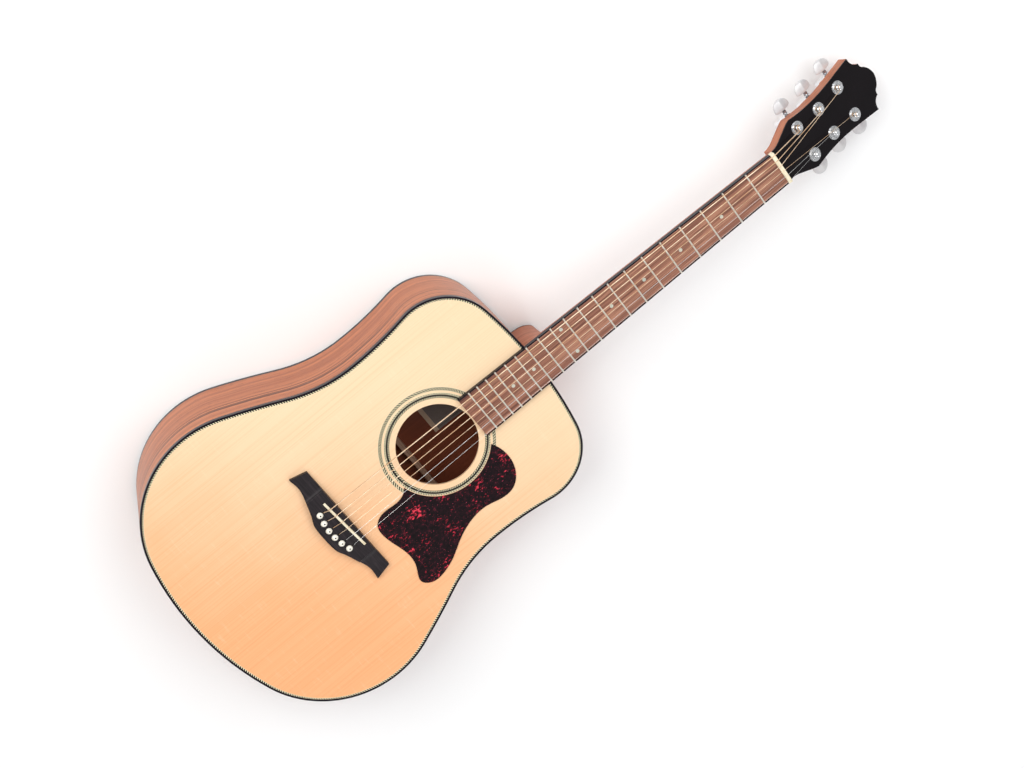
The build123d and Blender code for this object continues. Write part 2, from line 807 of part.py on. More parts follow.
with BuildPart() as nut:
    with BuildSketch(TOP):
        with Locations((nut_x + nut_length / 2, 0)):
            Rectangle(nut_length, board_width_nut)
    extrude(amount=nut_top)
    add(crowned(nut_top), mode=Mode.INTERSECT)
    fillet(nut.faces().sort_by(TOP_AXIS)[-1].edges(), nut_round)
    for string_y, radius in zip(string_ys_nut, string_radii):
        with BuildSketch(section_plane(nut_x - 1)):
            floor_height = string_nut_height - crown_drop(string_y)
            with Locations((string_y, floor_height + radius)):
                Circle(radius + string_slot_play)
            with Locations((string_y, floor_height + radius + nut_top / 2)):
                Rectangle(2 * (radius + string_slot_play), nut_top)
        extrude(amount=nut_length + 2, mode=Mode.SUBTRACT)
nut.part.label = "nut"
export_step(nut.part, "parts/nut.step")


# ---- Neck, head veneer and heel cap ----
def neck_section(x, depth):
    """Rounded cross-section of the neck's shaft."""
    half = board_half(x)
    with BuildSketch(section_plane(x)) as section:
        with BuildLine():
            Spline(
                (half, 0), (half * 0.93, -depth * 0.4), (half * 0.6, -depth * 0.83), (0, -depth),
                (-half * 0.6, -depth * 0.83), (-half * 0.93, -depth * 0.4), (-half, 0),
                tangents=((0, -1), (0, 1)),
            )
            Line((-half, 0), (half, 0))
        make_face()
    return section.sketch


heel_bottom = heel_clearance - neck_depth
heel_levels = (*heel_slices, (heel_bottom + heel_cap_thickness, *heel_cap_size))


def heel_section(level, nose, half):
    """Flat-backed, round-nosed slice of the heel."""
    with BuildSketch(TOP.offset(level)) as section:
        with BuildLine():
            Polyline((0, -half), (0, half))
            Spline((0, half), (nose * 0.72, half * 0.66), (nose, 0), (nose * 0.72, -half * 0.66), (0, -half),
                   tangents=((1, -0.05), (-1, -0.05)))
        make_face()
    return section.sketch


def head_outline():
    """Face of the head, widening from the nut to a flared top with a round crown."""
    with BuildSketch() as outline:
        with BuildLine():
            Spline(*head_flank, tangents=((1, 0), (1, 0.25)))
            Spline(head_flank[-1], head_waist, head_corner, tangents=((1, -0.18), (1, 0.12)))
            start = head_corner
            for middle, end in crown_scallops:
                ThreePointArc(start, middle, end)
                start = end
            Polyline(start, (0, 0), head_flank[0])
        make_face()
        mirror(about=Plane.XZ)
    return outline.sketch


tuner_spots = [(u, v) for u, v, _ in tuner_list]
ear_reach = gear_radius + gear_play + housing_wall + screw_head_radius
screw_spots = [(u - ear_reach, v + side * housing_ear_shift) for u, v, side in tuner_list]
rod_axis_drop = rod_bore + 0.3
with BuildPart() as neck:
    add(neck_section(nut_x + neck_root_inset, neck_depth_nut))
    add(neck_section(0, neck_depth_heel))
    loft()
    for level in heel_levels:
        add(heel_section(*level))
    loft()
    split(bisect_by=HEAD.offset(-veneer_thickness), keep=Keep.BOTTOM)
    with BuildSketch(TOP.offset(-binding_height)):
        with Locations((-tenon_length / 2, 0)):
            Rectangle(tenon_length, tenon_width)
    extrude(amount=tenon_bottom + binding_height)
    with BuildSketch(HEAD.offset(-veneer_thickness)):
        add(head_outline())
        with Locations(*tuner_spots):
            Circle(bushing_radius, mode=Mode.SUBTRACT)
    extrude(amount=veneer_thickness - head_thickness)
    with BuildSketch(TOP):
        with Locations((head_start_x - nut_length / 2, 0)):
            Rectangle(nut_length, 2 * board_width_nut)
    extrude(amount=nut_length, mode=Mode.SUBTRACT)
    with BuildSketch(HEAD.offset(-head_thickness)):
        with Locations(*screw_spots):
            Circle(screw_radius)
    extrude(amount=screw_length, mode=Mode.SUBTRACT)
    with BuildSketch(profile_plane()):
        with BuildLine():
            Polyline(
                (nut_x - 4, 1), (nut_x - 4, rod_height(nut_x) - rod_axis_drop),
                (-tenon_length - 1, rod_height(-tenon_length) - rod_axis_drop), (-tenon_length - 1, 1),
                close=True,
            )
        make_face()
    extrude(amount=rod_bore, both=True, mode=Mode.SUBTRACT)
neck.part.label = "neck"
export_step(neck.part, "parts/neck.step")

with BuildPart() as head_veneer:
    with BuildSketch(HEAD):
        add(head_outline())
        with Locations(*tuner_spots):
            Circle(bushing_radius, mode=Mode.SUBTRACT)
    extrude(amount=-veneer_thickness)
    split(bisect_by=section_plane(head_start_x), keep=Keep.TOP)
head_veneer.part.label = "head_veneer"
export_step(head_veneer.part, "parts/head_veneer.step")

with BuildPart() as heel_cap:
    add(heel_section(heel_bottom, *heel_cap_size))
    extrude(amount=heel_cap_thickness, dir=TOP.z_dir)
heel_cap.part.label = "heel_cap"
export_step(heel_cap.part, "parts/heel_cap.step")

# ---- Truss rod ----
with BuildPart() as truss_rod:
    with BuildSketch(rod_plane(nut_x - 8)):
        Circle(rod_radius)
    extrude(amount=(nut_x - 8 - rod_end_x))
truss_rod.part.label = "truss_rod"
export_step(truss_rod.part, "parts/truss_rod.step")

with BuildPart() as truss_rod_nut:
    nut_start = rod_plane(rod_end_x + rod_nut_length / 2)
    with BuildSketch(nut_start):
        Circle(rod_nut_radius)
    extrude(amount=rod_nut_length)
    with BuildSketch(nut_start):
        Circle(rod_radius + pin_clearance)
    extrude(amount=rod_nut_length / 2 + 0.5, mode=Mode.SUBTRACT)
    with BuildSketch(nut_start.offset(rod_nut_length)):
        RegularPolygon(rod_nut_socket / 2, 6, major_radius=False)
    extrude(amount=-rod_nut_length / 2, mode=Mode.SUBTRACT)
truss_rod_nut.part.label = "truss_rod_nut"
export_step(truss_rod_nut.part, "parts/truss_rod_nut.step")


# ---- Tuning machines ----
def tuner_plane(u, v, depth=0.0):
    """Plane of a tuner: origin on the post's axis, z out of the head's face."""
    return Plane(origin=HEAD.from_local_coords(Vector(u, v, depth)), x_dir=HEAD.x_dir, z_dir=HEAD.z_dir)


def gear_face():
    """Worm wheel's outline: a disc with shallow notches between its teeth."""
    with BuildSketch() as wheel:
        Circle(gear_radius)
        with PolarLocations(gear_radius, gear_teeth):
            Circle(gear_notch, mode=Mode.SUBTRACT)
    return wheel.sketch


def worm_lengthwise(u, v, side):
    """Plane square to the worm's axis at the post, facing out to the button."""
    origin = HEAD.from_local_coords(Vector(u + worm_offset, v, -head_thickness - worm_depth))
    return Plane(origin=origin, x_dir=HEAD.x_dir, z_dir=HEAD.y_dir * side)


shell_low = gear_radius + gear_play + housing_wall
shell_high = worm_offset + worm_radius + worm_play + housing_wall
shell_width = shell_low + shell_high
shell_length = housing_inner_reach + housing_reach
shell_rise = (shell_high - shell_low) / 2
shell_shift = (housing_reach - housing_inner_reach) / 2
shell_spots = [(u + shell_rise, v + side * shell_shift) for u, v, side in tuner_list]
worm_spots = [(u + worm_offset, v) for u, v in tuner_spots]
with BuildPart() as tuner_housings:
    with BuildSketch(HEAD.offset(-head_thickness)):
        with Locations(*shell_spots):
            RectangleRounded(shell_width, shell_length, housing_corner)
        with Locations(*screw_spots):
            Circle(screw_head_radius + housing_ear_rim)
    extrude(amount=-housing_wall)
    with BuildSketch(HEAD.offset(-head_thickness)):
        with Locations(*shell_spots):
            RectangleRounded(shell_width, shell_length, housing_corner)
    extrude(amount=-housing_depth)
    outer_faces = tuner_housings.faces().filter_by(HEAD).group_by(Axis(HEAD.origin, HEAD.z_dir))[0]
    fillet(outer_faces.edges(), housing_round)
    with BuildSketch(HEAD.offset(-head_thickness - housing_wall)):
        with Locations(*tuner_spots):
            Circle(gear_radius + gear_play)
        with Locations(*worm_spots):
            Rectangle(2 * (worm_radius + worm_play), 2 * (gear_radius + gear_play))
    extrude(amount=-(housing_depth - 2 * housing_wall), mode=Mode.SUBTRACT)
    with BuildSketch(HEAD.offset(-head_thickness)):
        with Locations(*tuner_spots):
            Circle(post_radius + post_clearance)
        with Locations(*screw_spots):
            Circle(screw_radius)
    extrude(amount=-housing_wall - 0.1, mode=Mode.SUBTRACT)
    for u, v, side in tuner_list:
        with BuildSketch(worm_lengthwise(u, v, side)):
            Circle(shaft_radius + post_clearance)
        extrude(amount=housing_reach + 1, mode=Mode.SUBTRACT)
tuner_housings.part.label = "tuner_housings"
export_step(tuner_housings.part, "parts/tuner_housings.step")

with BuildPart() as tuner_bushings:
    with BuildSketch(HEAD.offset(washer_thickness)):
        with Locations(*tuner_spots):
            Circle(bushing_flange_radius)
    extrude(amount=bushing_flange_height)
    rim_faces = tuner_bushings.faces().group_by(Axis(HEAD.origin, HEAD.z_dir))[-1]
    fillet(rim_faces.edges(), bushing_round)
    with BuildSketch(HEAD.offset(washer_thickness)):
        with Locations(*tuner_spots):
            Circle(bushing_radius)
    extrude(amount=-head_thickness)
    with BuildSketch(HEAD.offset(washer_thickness + bushing_flange_height)):
        with Locations(*tuner_spots):
            Circle(post_radius + post_clearance)
    extrude(amount=-2 * head_thickness, mode=Mode.SUBTRACT)
tuner_bushings.part.label = "tuner_bushings"
export_step(tuner_bushings.part, "parts/tuner_bushings.step")

with BuildPart() as tuner_washers:
    with BuildSketch(HEAD):
        with Locations(*tuner_spots):
            Circle(washer_radius)
            Circle(bushing_radius, mode=Mode.SUBTRACT)
    extrude(amount=washer_thickness)
tuner_washers.part.label = "tuner_washers"
export_step(tuner_washers.part, "parts/tuner_washers.step")

with BuildPart() as tuner_screws:
    with BuildSketch(HEAD.offset(-head_thickness + screw_length - 0.5)):
        with Locations(*screw_spots):
            Circle(screw_radius)
    extrude(amount=0.5 - screw_length - housing_wall)
    with BuildSketch(HEAD.offset(-head_thickness - housing_wall)):
        with Locations(*screw_spots):
            Circle(screw_head_radius)
    extrude(amount=-screw_head_height, taper=20)
tuner_screws.part.label = "tuner_screws"
export_step(tuner_screws.part, "parts/tuner_screws.step")

for number, (u, v, side) in enumerate(tuner_list, start=1):
    with BuildPart() as post:
        gear_plane = tuner_plane(u, v, -head_thickness - worm_depth - gear_thickness / 2)
        with BuildSketch(gear_plane):
            add(gear_face())
        extrude(amount=gear_thickness)
        shoulder = post_string_height - post_groove_below
        collar = post_string_height + post_groove_above
        profile = Plane(origin=tuner_plane(u, v).origin, x_dir=HEAD.x_dir, z_dir=-HEAD.y_dir)
        with BuildSketch(profile):
            with BuildLine():
                Polyline(
                    (0, post_height), (0, -head_thickness - worm_depth),
                    (post_radius, -head_thickness - worm_depth), (post_radius, shoulder),
                    (post_waist_radius, shoulder + post_taper), (post_waist_radius, collar - post_taper),
                    (post_radius, collar), (post_radius, post_height - post_chamfer),
                    (post_radius - post_chamfer, post_height), close=True,
                )
            make_face()
        revolve(axis=Axis(profile.origin, HEAD.z_dir))
        hole_origin = tuner_plane(u, v, post_string_height + post_hole_rise).origin
        with BuildSketch(Plane(origin=hole_origin, x_dir=HEAD.x_dir, z_dir=HEAD.y_dir)):
            Circle(post_hole_radius)
        extrude(amount=2 * post_radius, both=True, mode=Mode.SUBTRACT)
    post.part.label = f"tuner_{number}_post"
    export_step(post.part, f"parts/tuner_{number}_post.step")

    worm_plane = worm_lengthwise(u, v, side)
    with BuildPart() as worm:
        with BuildSketch(worm_plane.offset(-gear_radius)):
            Circle(worm_radius)
        extrude(amount=2 * gear_radius)
        with BuildSketch(worm_plane.offset(gear_radius)):
            Circle(shaft_radius)
        extrude(amount=button_gap - gear_radius + button_bore)
        for ridge in range(-worm_side_grooves, worm_side_grooves + 1):
            with BuildSketch(worm_plane.offset(ridge * worm_pitch - worm_groove_width / 2)):
                Circle(worm_radius)
                Circle(worm_radius - worm_groove_depth, mode=Mode.SUBTRACT)
            extrude(amount=worm_groove_width, mode=Mode.SUBTRACT)
    worm.part.label = f"tuner_{number}_worm"
    export_step(worm.part, f"parts/tuner_{number}_worm.step")

    with BuildPart() as button:
        button_origin = worm_plane.offset(button_gap).origin
        with BuildSketch(Plane(origin=button_origin, x_dir=HEAD.x_dir * side, z_dir=HEAD.z_dir)):
            with Locations((0, button_length / 2)):
                Ellipse(button_half_span, button_length / 2)
        extrude(amount=button_thickness / 2, both=True)
        fillet(button.edges().filter_by(GeomType.ELLIPSE), button_thickness / 3)
        with BuildSketch(worm_plane.offset(button_gap)):
            Circle(shaft_radius)
        extrude(amount=button_bore, mode=Mode.SUBTRACT)
    button.part.label = f"tuner_{number}_button"
    export_step(button.part, f"parts/tuner_{number}_button.step")


# ---- Strings, from the ball under the bridge plate to the tuner's post ----
def string_route(number):
    """Corners of a string's route and the bend radius at each inner corner."""
    index = number - 1
    radius = string_radii[index]
    pin_x, pin_y = pin_places[index]
    saddle_y, nut_y = string_ys_saddle[index], string_ys_nut[index]
    saddle_at = saddle_x - saddle_y * tan(radians(slant_angle)) - saddle_width * 0.4
    u, v, side = tuner_list[index]
    wrap = post_radius + radius + 0.3
    hole_x = pin_x + pin_radius + 0.2
    over_saddle = saddle_top - crown_drop(saddle_y) + radius + string_rest_gap
    over_nut = string_nut_height - crown_drop(nut_y) + radius
    route = [
        place(hole_x + 1.4, pin_y, -top_thickness - bridge_plate_thickness - 3.0),
        place(hole_x, pin_y, -top_thickness - bridge_plate_thickness + 0.5),
        place(hole_x, pin_y, bridge_height - 2.2),
        place(pin_x + pin_radius + 3.5, pin_y, bridge_height + 0.3 + radius),
        place(saddle_at, saddle_y, over_saddle),
        place(nut_x + nut_length + 0.1, nut_y, over_nut),
        HEAD.from_local_coords(Vector(u, side * (abs(v) - wrap), post_string_height)),
    ]
    return route, [1.0, 1.0, 1.0, 1.5, 1.5]


with BuildPart() as strings:
    for number, gauge in enumerate(string_radii, start=1):
        corners, bends = string_route(number)
        with BuildLine() as path:
            FilletPolyline(*corners, radius=bends)
        with BuildSketch(Plane(origin=path.line @ 0, z_dir=path.line % 0)):
            Circle(gauge)
        sweep()
        with Locations(Location(corners[0])):
            Sphere(ball_radius)
strings.part.label = "strings"
export_step(strings.part, "parts/strings.step")
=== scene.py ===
import json
import math

import bmesh
import bpy
from mathutils import Matrix, Vector


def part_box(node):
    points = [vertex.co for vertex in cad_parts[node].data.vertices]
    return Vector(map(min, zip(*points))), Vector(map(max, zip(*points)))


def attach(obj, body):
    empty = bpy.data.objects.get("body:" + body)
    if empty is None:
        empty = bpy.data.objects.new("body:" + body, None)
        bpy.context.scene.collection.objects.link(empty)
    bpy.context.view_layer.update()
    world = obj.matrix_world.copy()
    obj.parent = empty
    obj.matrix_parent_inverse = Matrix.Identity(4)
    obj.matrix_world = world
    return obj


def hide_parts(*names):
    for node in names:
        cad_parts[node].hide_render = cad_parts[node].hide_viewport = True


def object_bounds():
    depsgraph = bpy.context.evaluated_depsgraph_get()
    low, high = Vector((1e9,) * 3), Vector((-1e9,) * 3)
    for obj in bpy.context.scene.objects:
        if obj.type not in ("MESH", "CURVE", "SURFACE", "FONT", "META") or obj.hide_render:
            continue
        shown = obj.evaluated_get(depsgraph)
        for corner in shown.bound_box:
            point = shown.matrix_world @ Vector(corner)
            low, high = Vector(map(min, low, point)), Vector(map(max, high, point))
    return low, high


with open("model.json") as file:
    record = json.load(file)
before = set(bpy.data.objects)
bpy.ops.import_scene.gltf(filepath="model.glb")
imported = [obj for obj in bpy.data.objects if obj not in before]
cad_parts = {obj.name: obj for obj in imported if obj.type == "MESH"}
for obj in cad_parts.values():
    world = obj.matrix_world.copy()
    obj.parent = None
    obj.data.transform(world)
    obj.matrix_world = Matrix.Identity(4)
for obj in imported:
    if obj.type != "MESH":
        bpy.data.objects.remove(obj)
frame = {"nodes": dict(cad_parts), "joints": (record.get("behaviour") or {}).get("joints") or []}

# Looks of a steel-string acoustic guitar that lies on its back.
# Lengths are in metres. The soundboard's own frame, used below, has its origin on the
# centreline at the joint of neck and body, x towards the head and z out of the top.

cad_low, cad_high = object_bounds()
nodes = frame["nodes"]
joints = {joint["name"]: joint for joint in frame["joints"]}

# ---- Driving dimensions, as in the CAD ----
scale_length = 0.648
body_fret = 14
nut_length = 0.005
post_waist_radius = 0.0023
post_string_height = 0.0046
saddle_x = -0.2915
saddle_slant = math.atan(0.0043 / 0.072)
saddle_width = 0.003
saddle_top = 0.0124
string_nut_height = 0.0086
string_spacing_nut = 0.0073
string_spacing_saddle = 0.01048
string_radii = (0.00015, 0.000205, 0.000305, 0.000405, 0.000535, 0.000675)
string_rest_gap = 0.00008
pin_radius = 0.0025
pin_head_top = 0.013
bridge_height = 0.0095
crown_radius = 0.4
button_gap = 0.019
button_length = 0.015
button_half_span = 0.0115

# ---- Details of the strings that only the looks have ----
first_wound_string = 3
coil_top_height = 0.0069
wire_gap = 0.00005
ball_shift = 0.0014
ball_z = -0.0085

# ---- The soundboard's and the head's frames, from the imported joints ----
TOP_Z = Vector(joints["bridge_pin_1_pull"]["axis"])
TOP_X = Vector((TOP_Z.z, 0, -TOP_Z.x))
TOP_Y = Vector((0, 1, 0))
HEAD_Z = Vector(joints["tuner_1_capstan_turn"]["axis"])
HEAD_X = Vector((HEAD_Z.z, 0, -HEAD_Z.x))
nut_x = scale_length * (1 - 2 ** (-body_fret / 12))
nut_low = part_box("nut")[0]
TOP_ORIGIN = Vector((nut_low.x - nut_x * TOP_X.x, 0, nut_low.z - (nut_x + nut_length) * TOP_X.z))


def top_point(x, y, z=0.0):
    """Turn a point of the soundboard's frame into the row frame."""
    return TOP_ORIGIN + TOP_X * x + TOP_Y * y + TOP_Z * z


def top_local(point):
    """Turn a point of the row frame into the soundboard's frame."""
    step = Vector(point) - TOP_ORIGIN
    return Vector((step.dot(TOP_X), step.dot(TOP_Y), step.dot(TOP_Z)))


def box_centre(node):
    """Middle of a CAD node's box."""
    low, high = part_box(node)
    return (low + high) / 2


def crown_drop(y):
    """How far the crowned fretboard, nut and saddle have fallen away from the centreline."""
    return crown_radius - math.sqrt(crown_radius**2 - y**2)


SOUNDHOLE = top_point(top_local(box_centre("rosette")).x, 0)


# ---- Camera, floor and lights ----
def add_camera():
    """Camera high on the bass side, rolled so that the neck runs up to the right."""
    place = top_point(-0.0401, 0.7402, 1.8354)
    target = top_point(-0.0386, 0.0001)
    up = TOP_X * 0.6305 + TOP_Y * 0.72 - TOP_Z * 0.2898
    forward = (target - place).normalized()
    right = forward.cross(up).normalized()
    turn = Matrix((right, right.cross(forward), -forward)).transposed()
    data = bpy.data.cameras.new("camera")
    data.sensor_width = 36.0
    data.lens = 59.77
    data.clip_start = 0.05
    data.clip_end = 60.0
    camera = bpy.data.objects.new("camera", data)
    camera.matrix_world = Matrix.Translation(place) @ turn.to_4x4()
    bpy.context.scene.collection.objects.link(camera)
    bpy.context.scene.camera = camera


def add_area_light(name, place, size, power, color=(1.0, 1.0, 1.0)):
    """Soft square light that faces the row frame's origin, under the middle of the guitar."""
    data = bpy.data.lights.new(name, "AREA")
    data.shape = "SQUARE"
    data.size = size
    data.energy = power
    data.color = color
    light = bpy.data.objects.new(name, data)
    light.location = place
    light.rotation_euler = (-Vector(place)).to_track_quat("-Z", "Y").to_euler()
    bpy.context.scene.collection.objects.link(light)


def add_stage():
    """Plain pale floor with soft studio light from above and from both sides."""
    half = 25.0
    floor_z = cad_low.z - 0.0004
    signs = ((-1, -1), (1, -1), (1, 1), (-1, 1))
    mesh = bpy.data.meshes.new("floor")
    mesh.from_pydata([(x * half, y * half, floor_z) for x, y in signs], [], [(0, 1, 2, 3)])
    floor = bpy.data.objects.new("floor", mesh)
    graph = Graph("floor_white", (0.95, 0.95, 0.95), 0.9)
    mesh.materials.append(graph.material)
    bpy.context.scene.collection.objects.link(floor)
    add_area_light("key_light", (-0.5, 1.7, 1.9), 1.6, 33.0, (1.0, 0.98, 0.95))
    add_area_light("fill_light", (1.1, 0.4, 2.1), 1.8, 19.0)
    add_area_light("treble_light", (-0.6, -2.3, 1.1), 1.6, 13.0)
    add_world()


def add_world():
    """Pale surroundings, a little dimmer towards the horizon."""
    world = bpy.data.worlds.new("studio")
    world.use_nodes = True
    tree = world.node_tree
    way = tree.nodes.new("ShaderNodeTexCoord")
    parts = tree.nodes.new("ShaderNodeSeparateXYZ")
    shade = tree.nodes.new("ShaderNodeValToRGB")
    low, high = shade.color_ramp.elements
    low.position, low.color = 0.02, (0.55, 0.56, 0.57, 1.0)
    high.position, high.color = 0.5, (0.96, 0.98, 1.0, 1.0)
    tree.links.new(way.outputs["Generated"], parts.inputs[0])
    tree.links.new(parts.outputs["Z"], shade.inputs[0])
    tree.links.new(shade.outputs[0], tree.nodes["Background"].inputs["Color"])
    tree.nodes["Background"].inputs["Strength"].default_value = 0.62
    bpy.context.scene.world = world
    bpy.context.scene.view_settings.view_transform = "Standard"


# ---- Material graphs ----
def srgb(red, green, blue):
    """Linear colour of an 8-bit screen colour."""
    def linear(value):
        share = value / 255
        return share / 12.92 if share <= 0.04045 else ((share + 0.055) / 1.055) ** 2.4
    return (linear(red), linear(green), linear(blue), 1.0)


class Graph:
    """One material's nodes, with short calls for the kinds of node used here."""

    def __init__(self, name, color=(0.8, 0.8, 0.8), roughness=0.5, metallic=0.0, coat=0.0, shine=0.5):
        self.material = bpy.data.materials.new(name)
        self.material.use_nodes = True
        self.tree = self.material.node_tree
        self.shader = self.tree.nodes["Principled BSDF"]
        self.shader.inputs["Base Color"].default_value = (*color[:3], 1.0)
        self.shader.inputs["Roughness"].default_value = roughness
        self.shader.inputs["Metallic"].default_value = metallic
        self.shader.inputs["Specular IOR Level"].default_value = shine
        self.shader.inputs["Coat Weight"].default_value = coat
        self.shader.inputs["Coat Roughness"].default_value = 0.08

    def add(self, kind, inputs, **settings):
        """New node with its settings, and with values or links for its inputs."""
        node = self.tree.nodes.new("ShaderNode" + kind)
        for key, value in settings.items():
            setattr(node, key, value)
        for key, value in inputs.items():
            if isinstance(value, bpy.types.NodeSocket):
                self.tree.links.new(value, node.inputs[key])
            else:
                node.inputs[key].default_value = value
        return node

    def math(self, operation, first, second=0.0, third=0.0):
        """One sum on two or three numbers."""
        return self.add("Math", {0: first, 1: second, 2: third}, operation=operation).outputs[0]

    def times(self, first, second):
        """Product of two numbers."""
        return self.math("MULTIPLY", first, second)

    def plus(self, first, second):
        """Sum of two numbers."""
        return self.math("ADD", first, second)

    def clamp(self, value, low, high):
        """Value brought from low..high to 0..1, smoothly."""
        inputs = {"Value": value, "From Min": low, "From Max": high}
        return self.add("MapRange", inputs, interpolation_type="SMOOTHSTEP").outputs[0]

    def along(self, axis, origin=Vector()):
        """Distance of the shaded point from an origin, along an axis."""
        place = self.add("TexCoord", {}).outputs["Object"]
        step = self.add("VectorMath", {0: place, 1: origin}, operation="SUBTRACT").outputs[0]
        return self.dot(step, axis)

    def dot(self, first, second):
        """Dot product of two vectors."""
        return self.add("VectorMath", {0: first, 1: second}, operation="DOT_PRODUCT").outputs["Value"]

    def vector(self, x, y, z=0.0):
        """Three numbers as one vector."""
        return self.add("CombineXYZ", {0: x, 1: y, 2: z}).outputs[0]

    def scaled(self, x, y, z, scales):
        """Vector of three coordinates, each times its own scale."""
        parts = [self.times(value, scale) for value, scale in zip((x, y, z), scales)]
        return self.vector(*parts)

    def noise(self, vector, scale=1.0, detail=3.0, roughness=0.55, distortion=0.0):
        """Cloudy noise, 0 to 1."""
        inputs = {"Vector": vector, "Scale": scale, "Detail": detail, "Roughness": roughness}
        node = self.add("TexNoise", inputs)
        node.inputs["Distortion"].default_value = distortion
        return node.outputs["Fac"]

    def ramp(self, factor, stops):
        """Colour ramp through (place, colour) stops."""
        node = self.add("ValToRGB", {0: factor})
        elements = node.color_ramp.elements
        while len(elements) < len(stops):
            elements.new(0.5)
        for element, (place, color) in zip(elements, stops):
            element.position = place
            element.color = (*color[:3], 1.0)
        return node.outputs["Color"]

    def mix(self, factor, first, second):
        """Blend of two colours."""
        if isinstance(first, tuple):
            first = (*first[:3], 1.0)
        if isinstance(second, tuple):
            second = (*second[:3], 1.0)
        node = self.add("Mix", {0: factor, 6: first, 7: second}, data_type="RGBA")
        return node.outputs[2]

    def paint(self, color):
        """Give the surface its colour."""
        self.tree.links.new(color, self.shader.inputs["Base Color"])

    def gloss(self, factor, low, high):
        """Let the roughness run from low to high with a factor."""
        inputs = {"Value": factor, "To Min": low, "To Max": high}
        rough = self.add("MapRange", inputs).outputs[0]
        self.tree.links.new(rough, self.shader.inputs["Roughness"])

    def bump(self, height, distance, strength=0.5):
        """Raise the surface by a height map."""
        node = self.add("Bump", {"Height": height, "Distance": distance, "Strength": strength})
        self.tree.links.new(node.outputs[0], self.shader.inputs["Normal"])


def grain_axes(graph):
    """Coordinates along the neck, across it and out of the top."""
    return (
        graph.along(TOP_X, TOP_ORIGIN),
        graph.along(TOP_Y, TOP_ORIGIN),
        graph.along(TOP_Z, TOP_ORIGIN),
    )


def spruce_top():
    """Bookmatched spruce: fine straight grain, faint silk across it and an amber tail end."""
    graph = Graph("spruce_top", roughness=0.38, coat=0.08, shine=0.4)
    x, y, z = grain_axes(graph)
    leaf = graph.math("ABSOLUTE", graph.plus(y, 0.0007))
    drift = graph.noise(graph.scaled(x, leaf, z, (2.2, 9.0, 1.0)), 1.0, 2.0)
    bent = graph.plus(leaf, graph.times(drift, 0.006))
    lines = graph.noise(graph.scaled(x, bent, z, (1.6, 620.0, 1.0)), 1.0, 4.0, 0.6)
    bands = graph.noise(graph.scaled(x, bent, z, (1.1, 52.0, 1.0)), 1.0, 2.0)
    silk = graph.noise(graph.scaled(x, y, z, (240.0, 34.0, 1.0)), 1.0, 3.0, 0.6)
    flecks = graph.clamp(silk, 0.56, 0.78)
    cloud = graph.noise(graph.scaled(x, y, z, (9.0, 6.0, 1.0)), 1.0, 3.0)
    tail = graph.plus(graph.times(x, -1.55), graph.times(y, -1.5))
    treble = graph.clamp(y, 0.002, -0.002)
    tail = graph.plus(tail, graph.times(treble, 0.05))
    tail = graph.plus(tail, graph.times(cloud, 0.28))
    amber = graph.clamp(tail, 0.2, 1.0)
    pale = graph.mix(amber, srgb(244, 214, 176), srgb(243, 178, 126))
    warm = graph.mix(amber, srgb(237, 200, 157), srgb(235, 161, 108))
    wood = graph.mix(graph.times(graph.clamp(lines, 0.42, 0.75), 0.75), pale, warm)
    wood = graph.mix(graph.times(graph.clamp(bands, 0.5, 0.75), 0.3), wood, warm)
    wood = graph.mix(graph.times(flecks, 0.14), wood, srgb(255, 236, 204))
    seam = graph.clamp(graph.math("ABSOLUTE", y), 0.00035, 0.0001)
    wood = graph.mix(graph.times(seam, 0.3), wood, srgb(200, 140, 90))
    graph.paint(wood)
    graph.gloss(lines, 0.3, 0.42)
    graph.bump(lines, 0.00006, 0.35)
    return graph.material


def mahogany(name, light, dark, pore, across_axis, scales, gloss_range=(0.24, 0.4),
             edge_streaks=False, shaded_bare_side=None):
    """Striped mahogany: ribbon bands and short dark pores that run along the piece.

    Thin dark streaks may follow the soundboard's edge. Faces that look along the bare side's
    direction are unfinished wood, painted darker as well as shade inside the body.
    """
    graph = Graph(name, roughness=0.42, shine=0.16)
    x, y, z = grain_axes(graph)
    across = graph.along(across_axis, TOP_ORIGIN)
    run = graph.noise(graph.scaled(x, y, z, (7.0, 7.0, 3.0)), 1.0, 2.0)
    wavy = graph.plus(across, graph.times(run, 0.014))
    ribbons = graph.noise(graph.scaled(x, wavy, z, (2.0, scales[0], 0.0)), 1.0, 3.0)
    fine = graph.noise(graph.scaled(x, wavy, run, (9.0, scales[1], 4.0)), 1.0, 4.0, 0.65)
    pores = graph.noise(graph.scaled(x, wavy, y, (70.0, scales[1] * 2.2, 60.0)), 1.0, 2.0, 0.7)
    wood = graph.mix(graph.clamp(ribbons, 0.34, 0.66), light, dark)
    wood = graph.mix(graph.times(graph.clamp(fine, 0.42, 0.68), 0.55), wood, dark)
    wood = graph.mix(graph.times(graph.clamp(pores, 0.6, 0.68), 0.6), wood, pore)
    if edge_streaks:
        depth = graph.plus(z, graph.times(run, 0.012))
        streaks = graph.noise(graph.scaled(x, depth, z, (1.4, 230.0, 0.0)), 1.0, 2.0)
        near_top = graph.clamp(depth, -0.052, -0.034)
        streaks = graph.times(graph.clamp(streaks, 0.54, 0.6), near_top)
        wood = graph.mix(graph.times(streaks, 0.9), wood, pore)
    if shaded_bare_side is not None:
        facing = graph.add("NewGeometry", {}).outputs["True Normal"]
        inward = graph.dot(facing, shaded_bare_side)
        # Bare inner wood, its colour also darkened as painted shade inside the body.
        bare_and_shaded = graph.mix(fine, srgb(150, 82, 58), srgb(108, 56, 38))
        wood = graph.mix(graph.clamp(inward, 0.4, 0.6), wood, bare_and_shaded)
    graph.paint(wood)
    graph.gloss(fine, *gloss_range)
    graph.bump(pores, 0.00005, -0.3)
    return graph.material


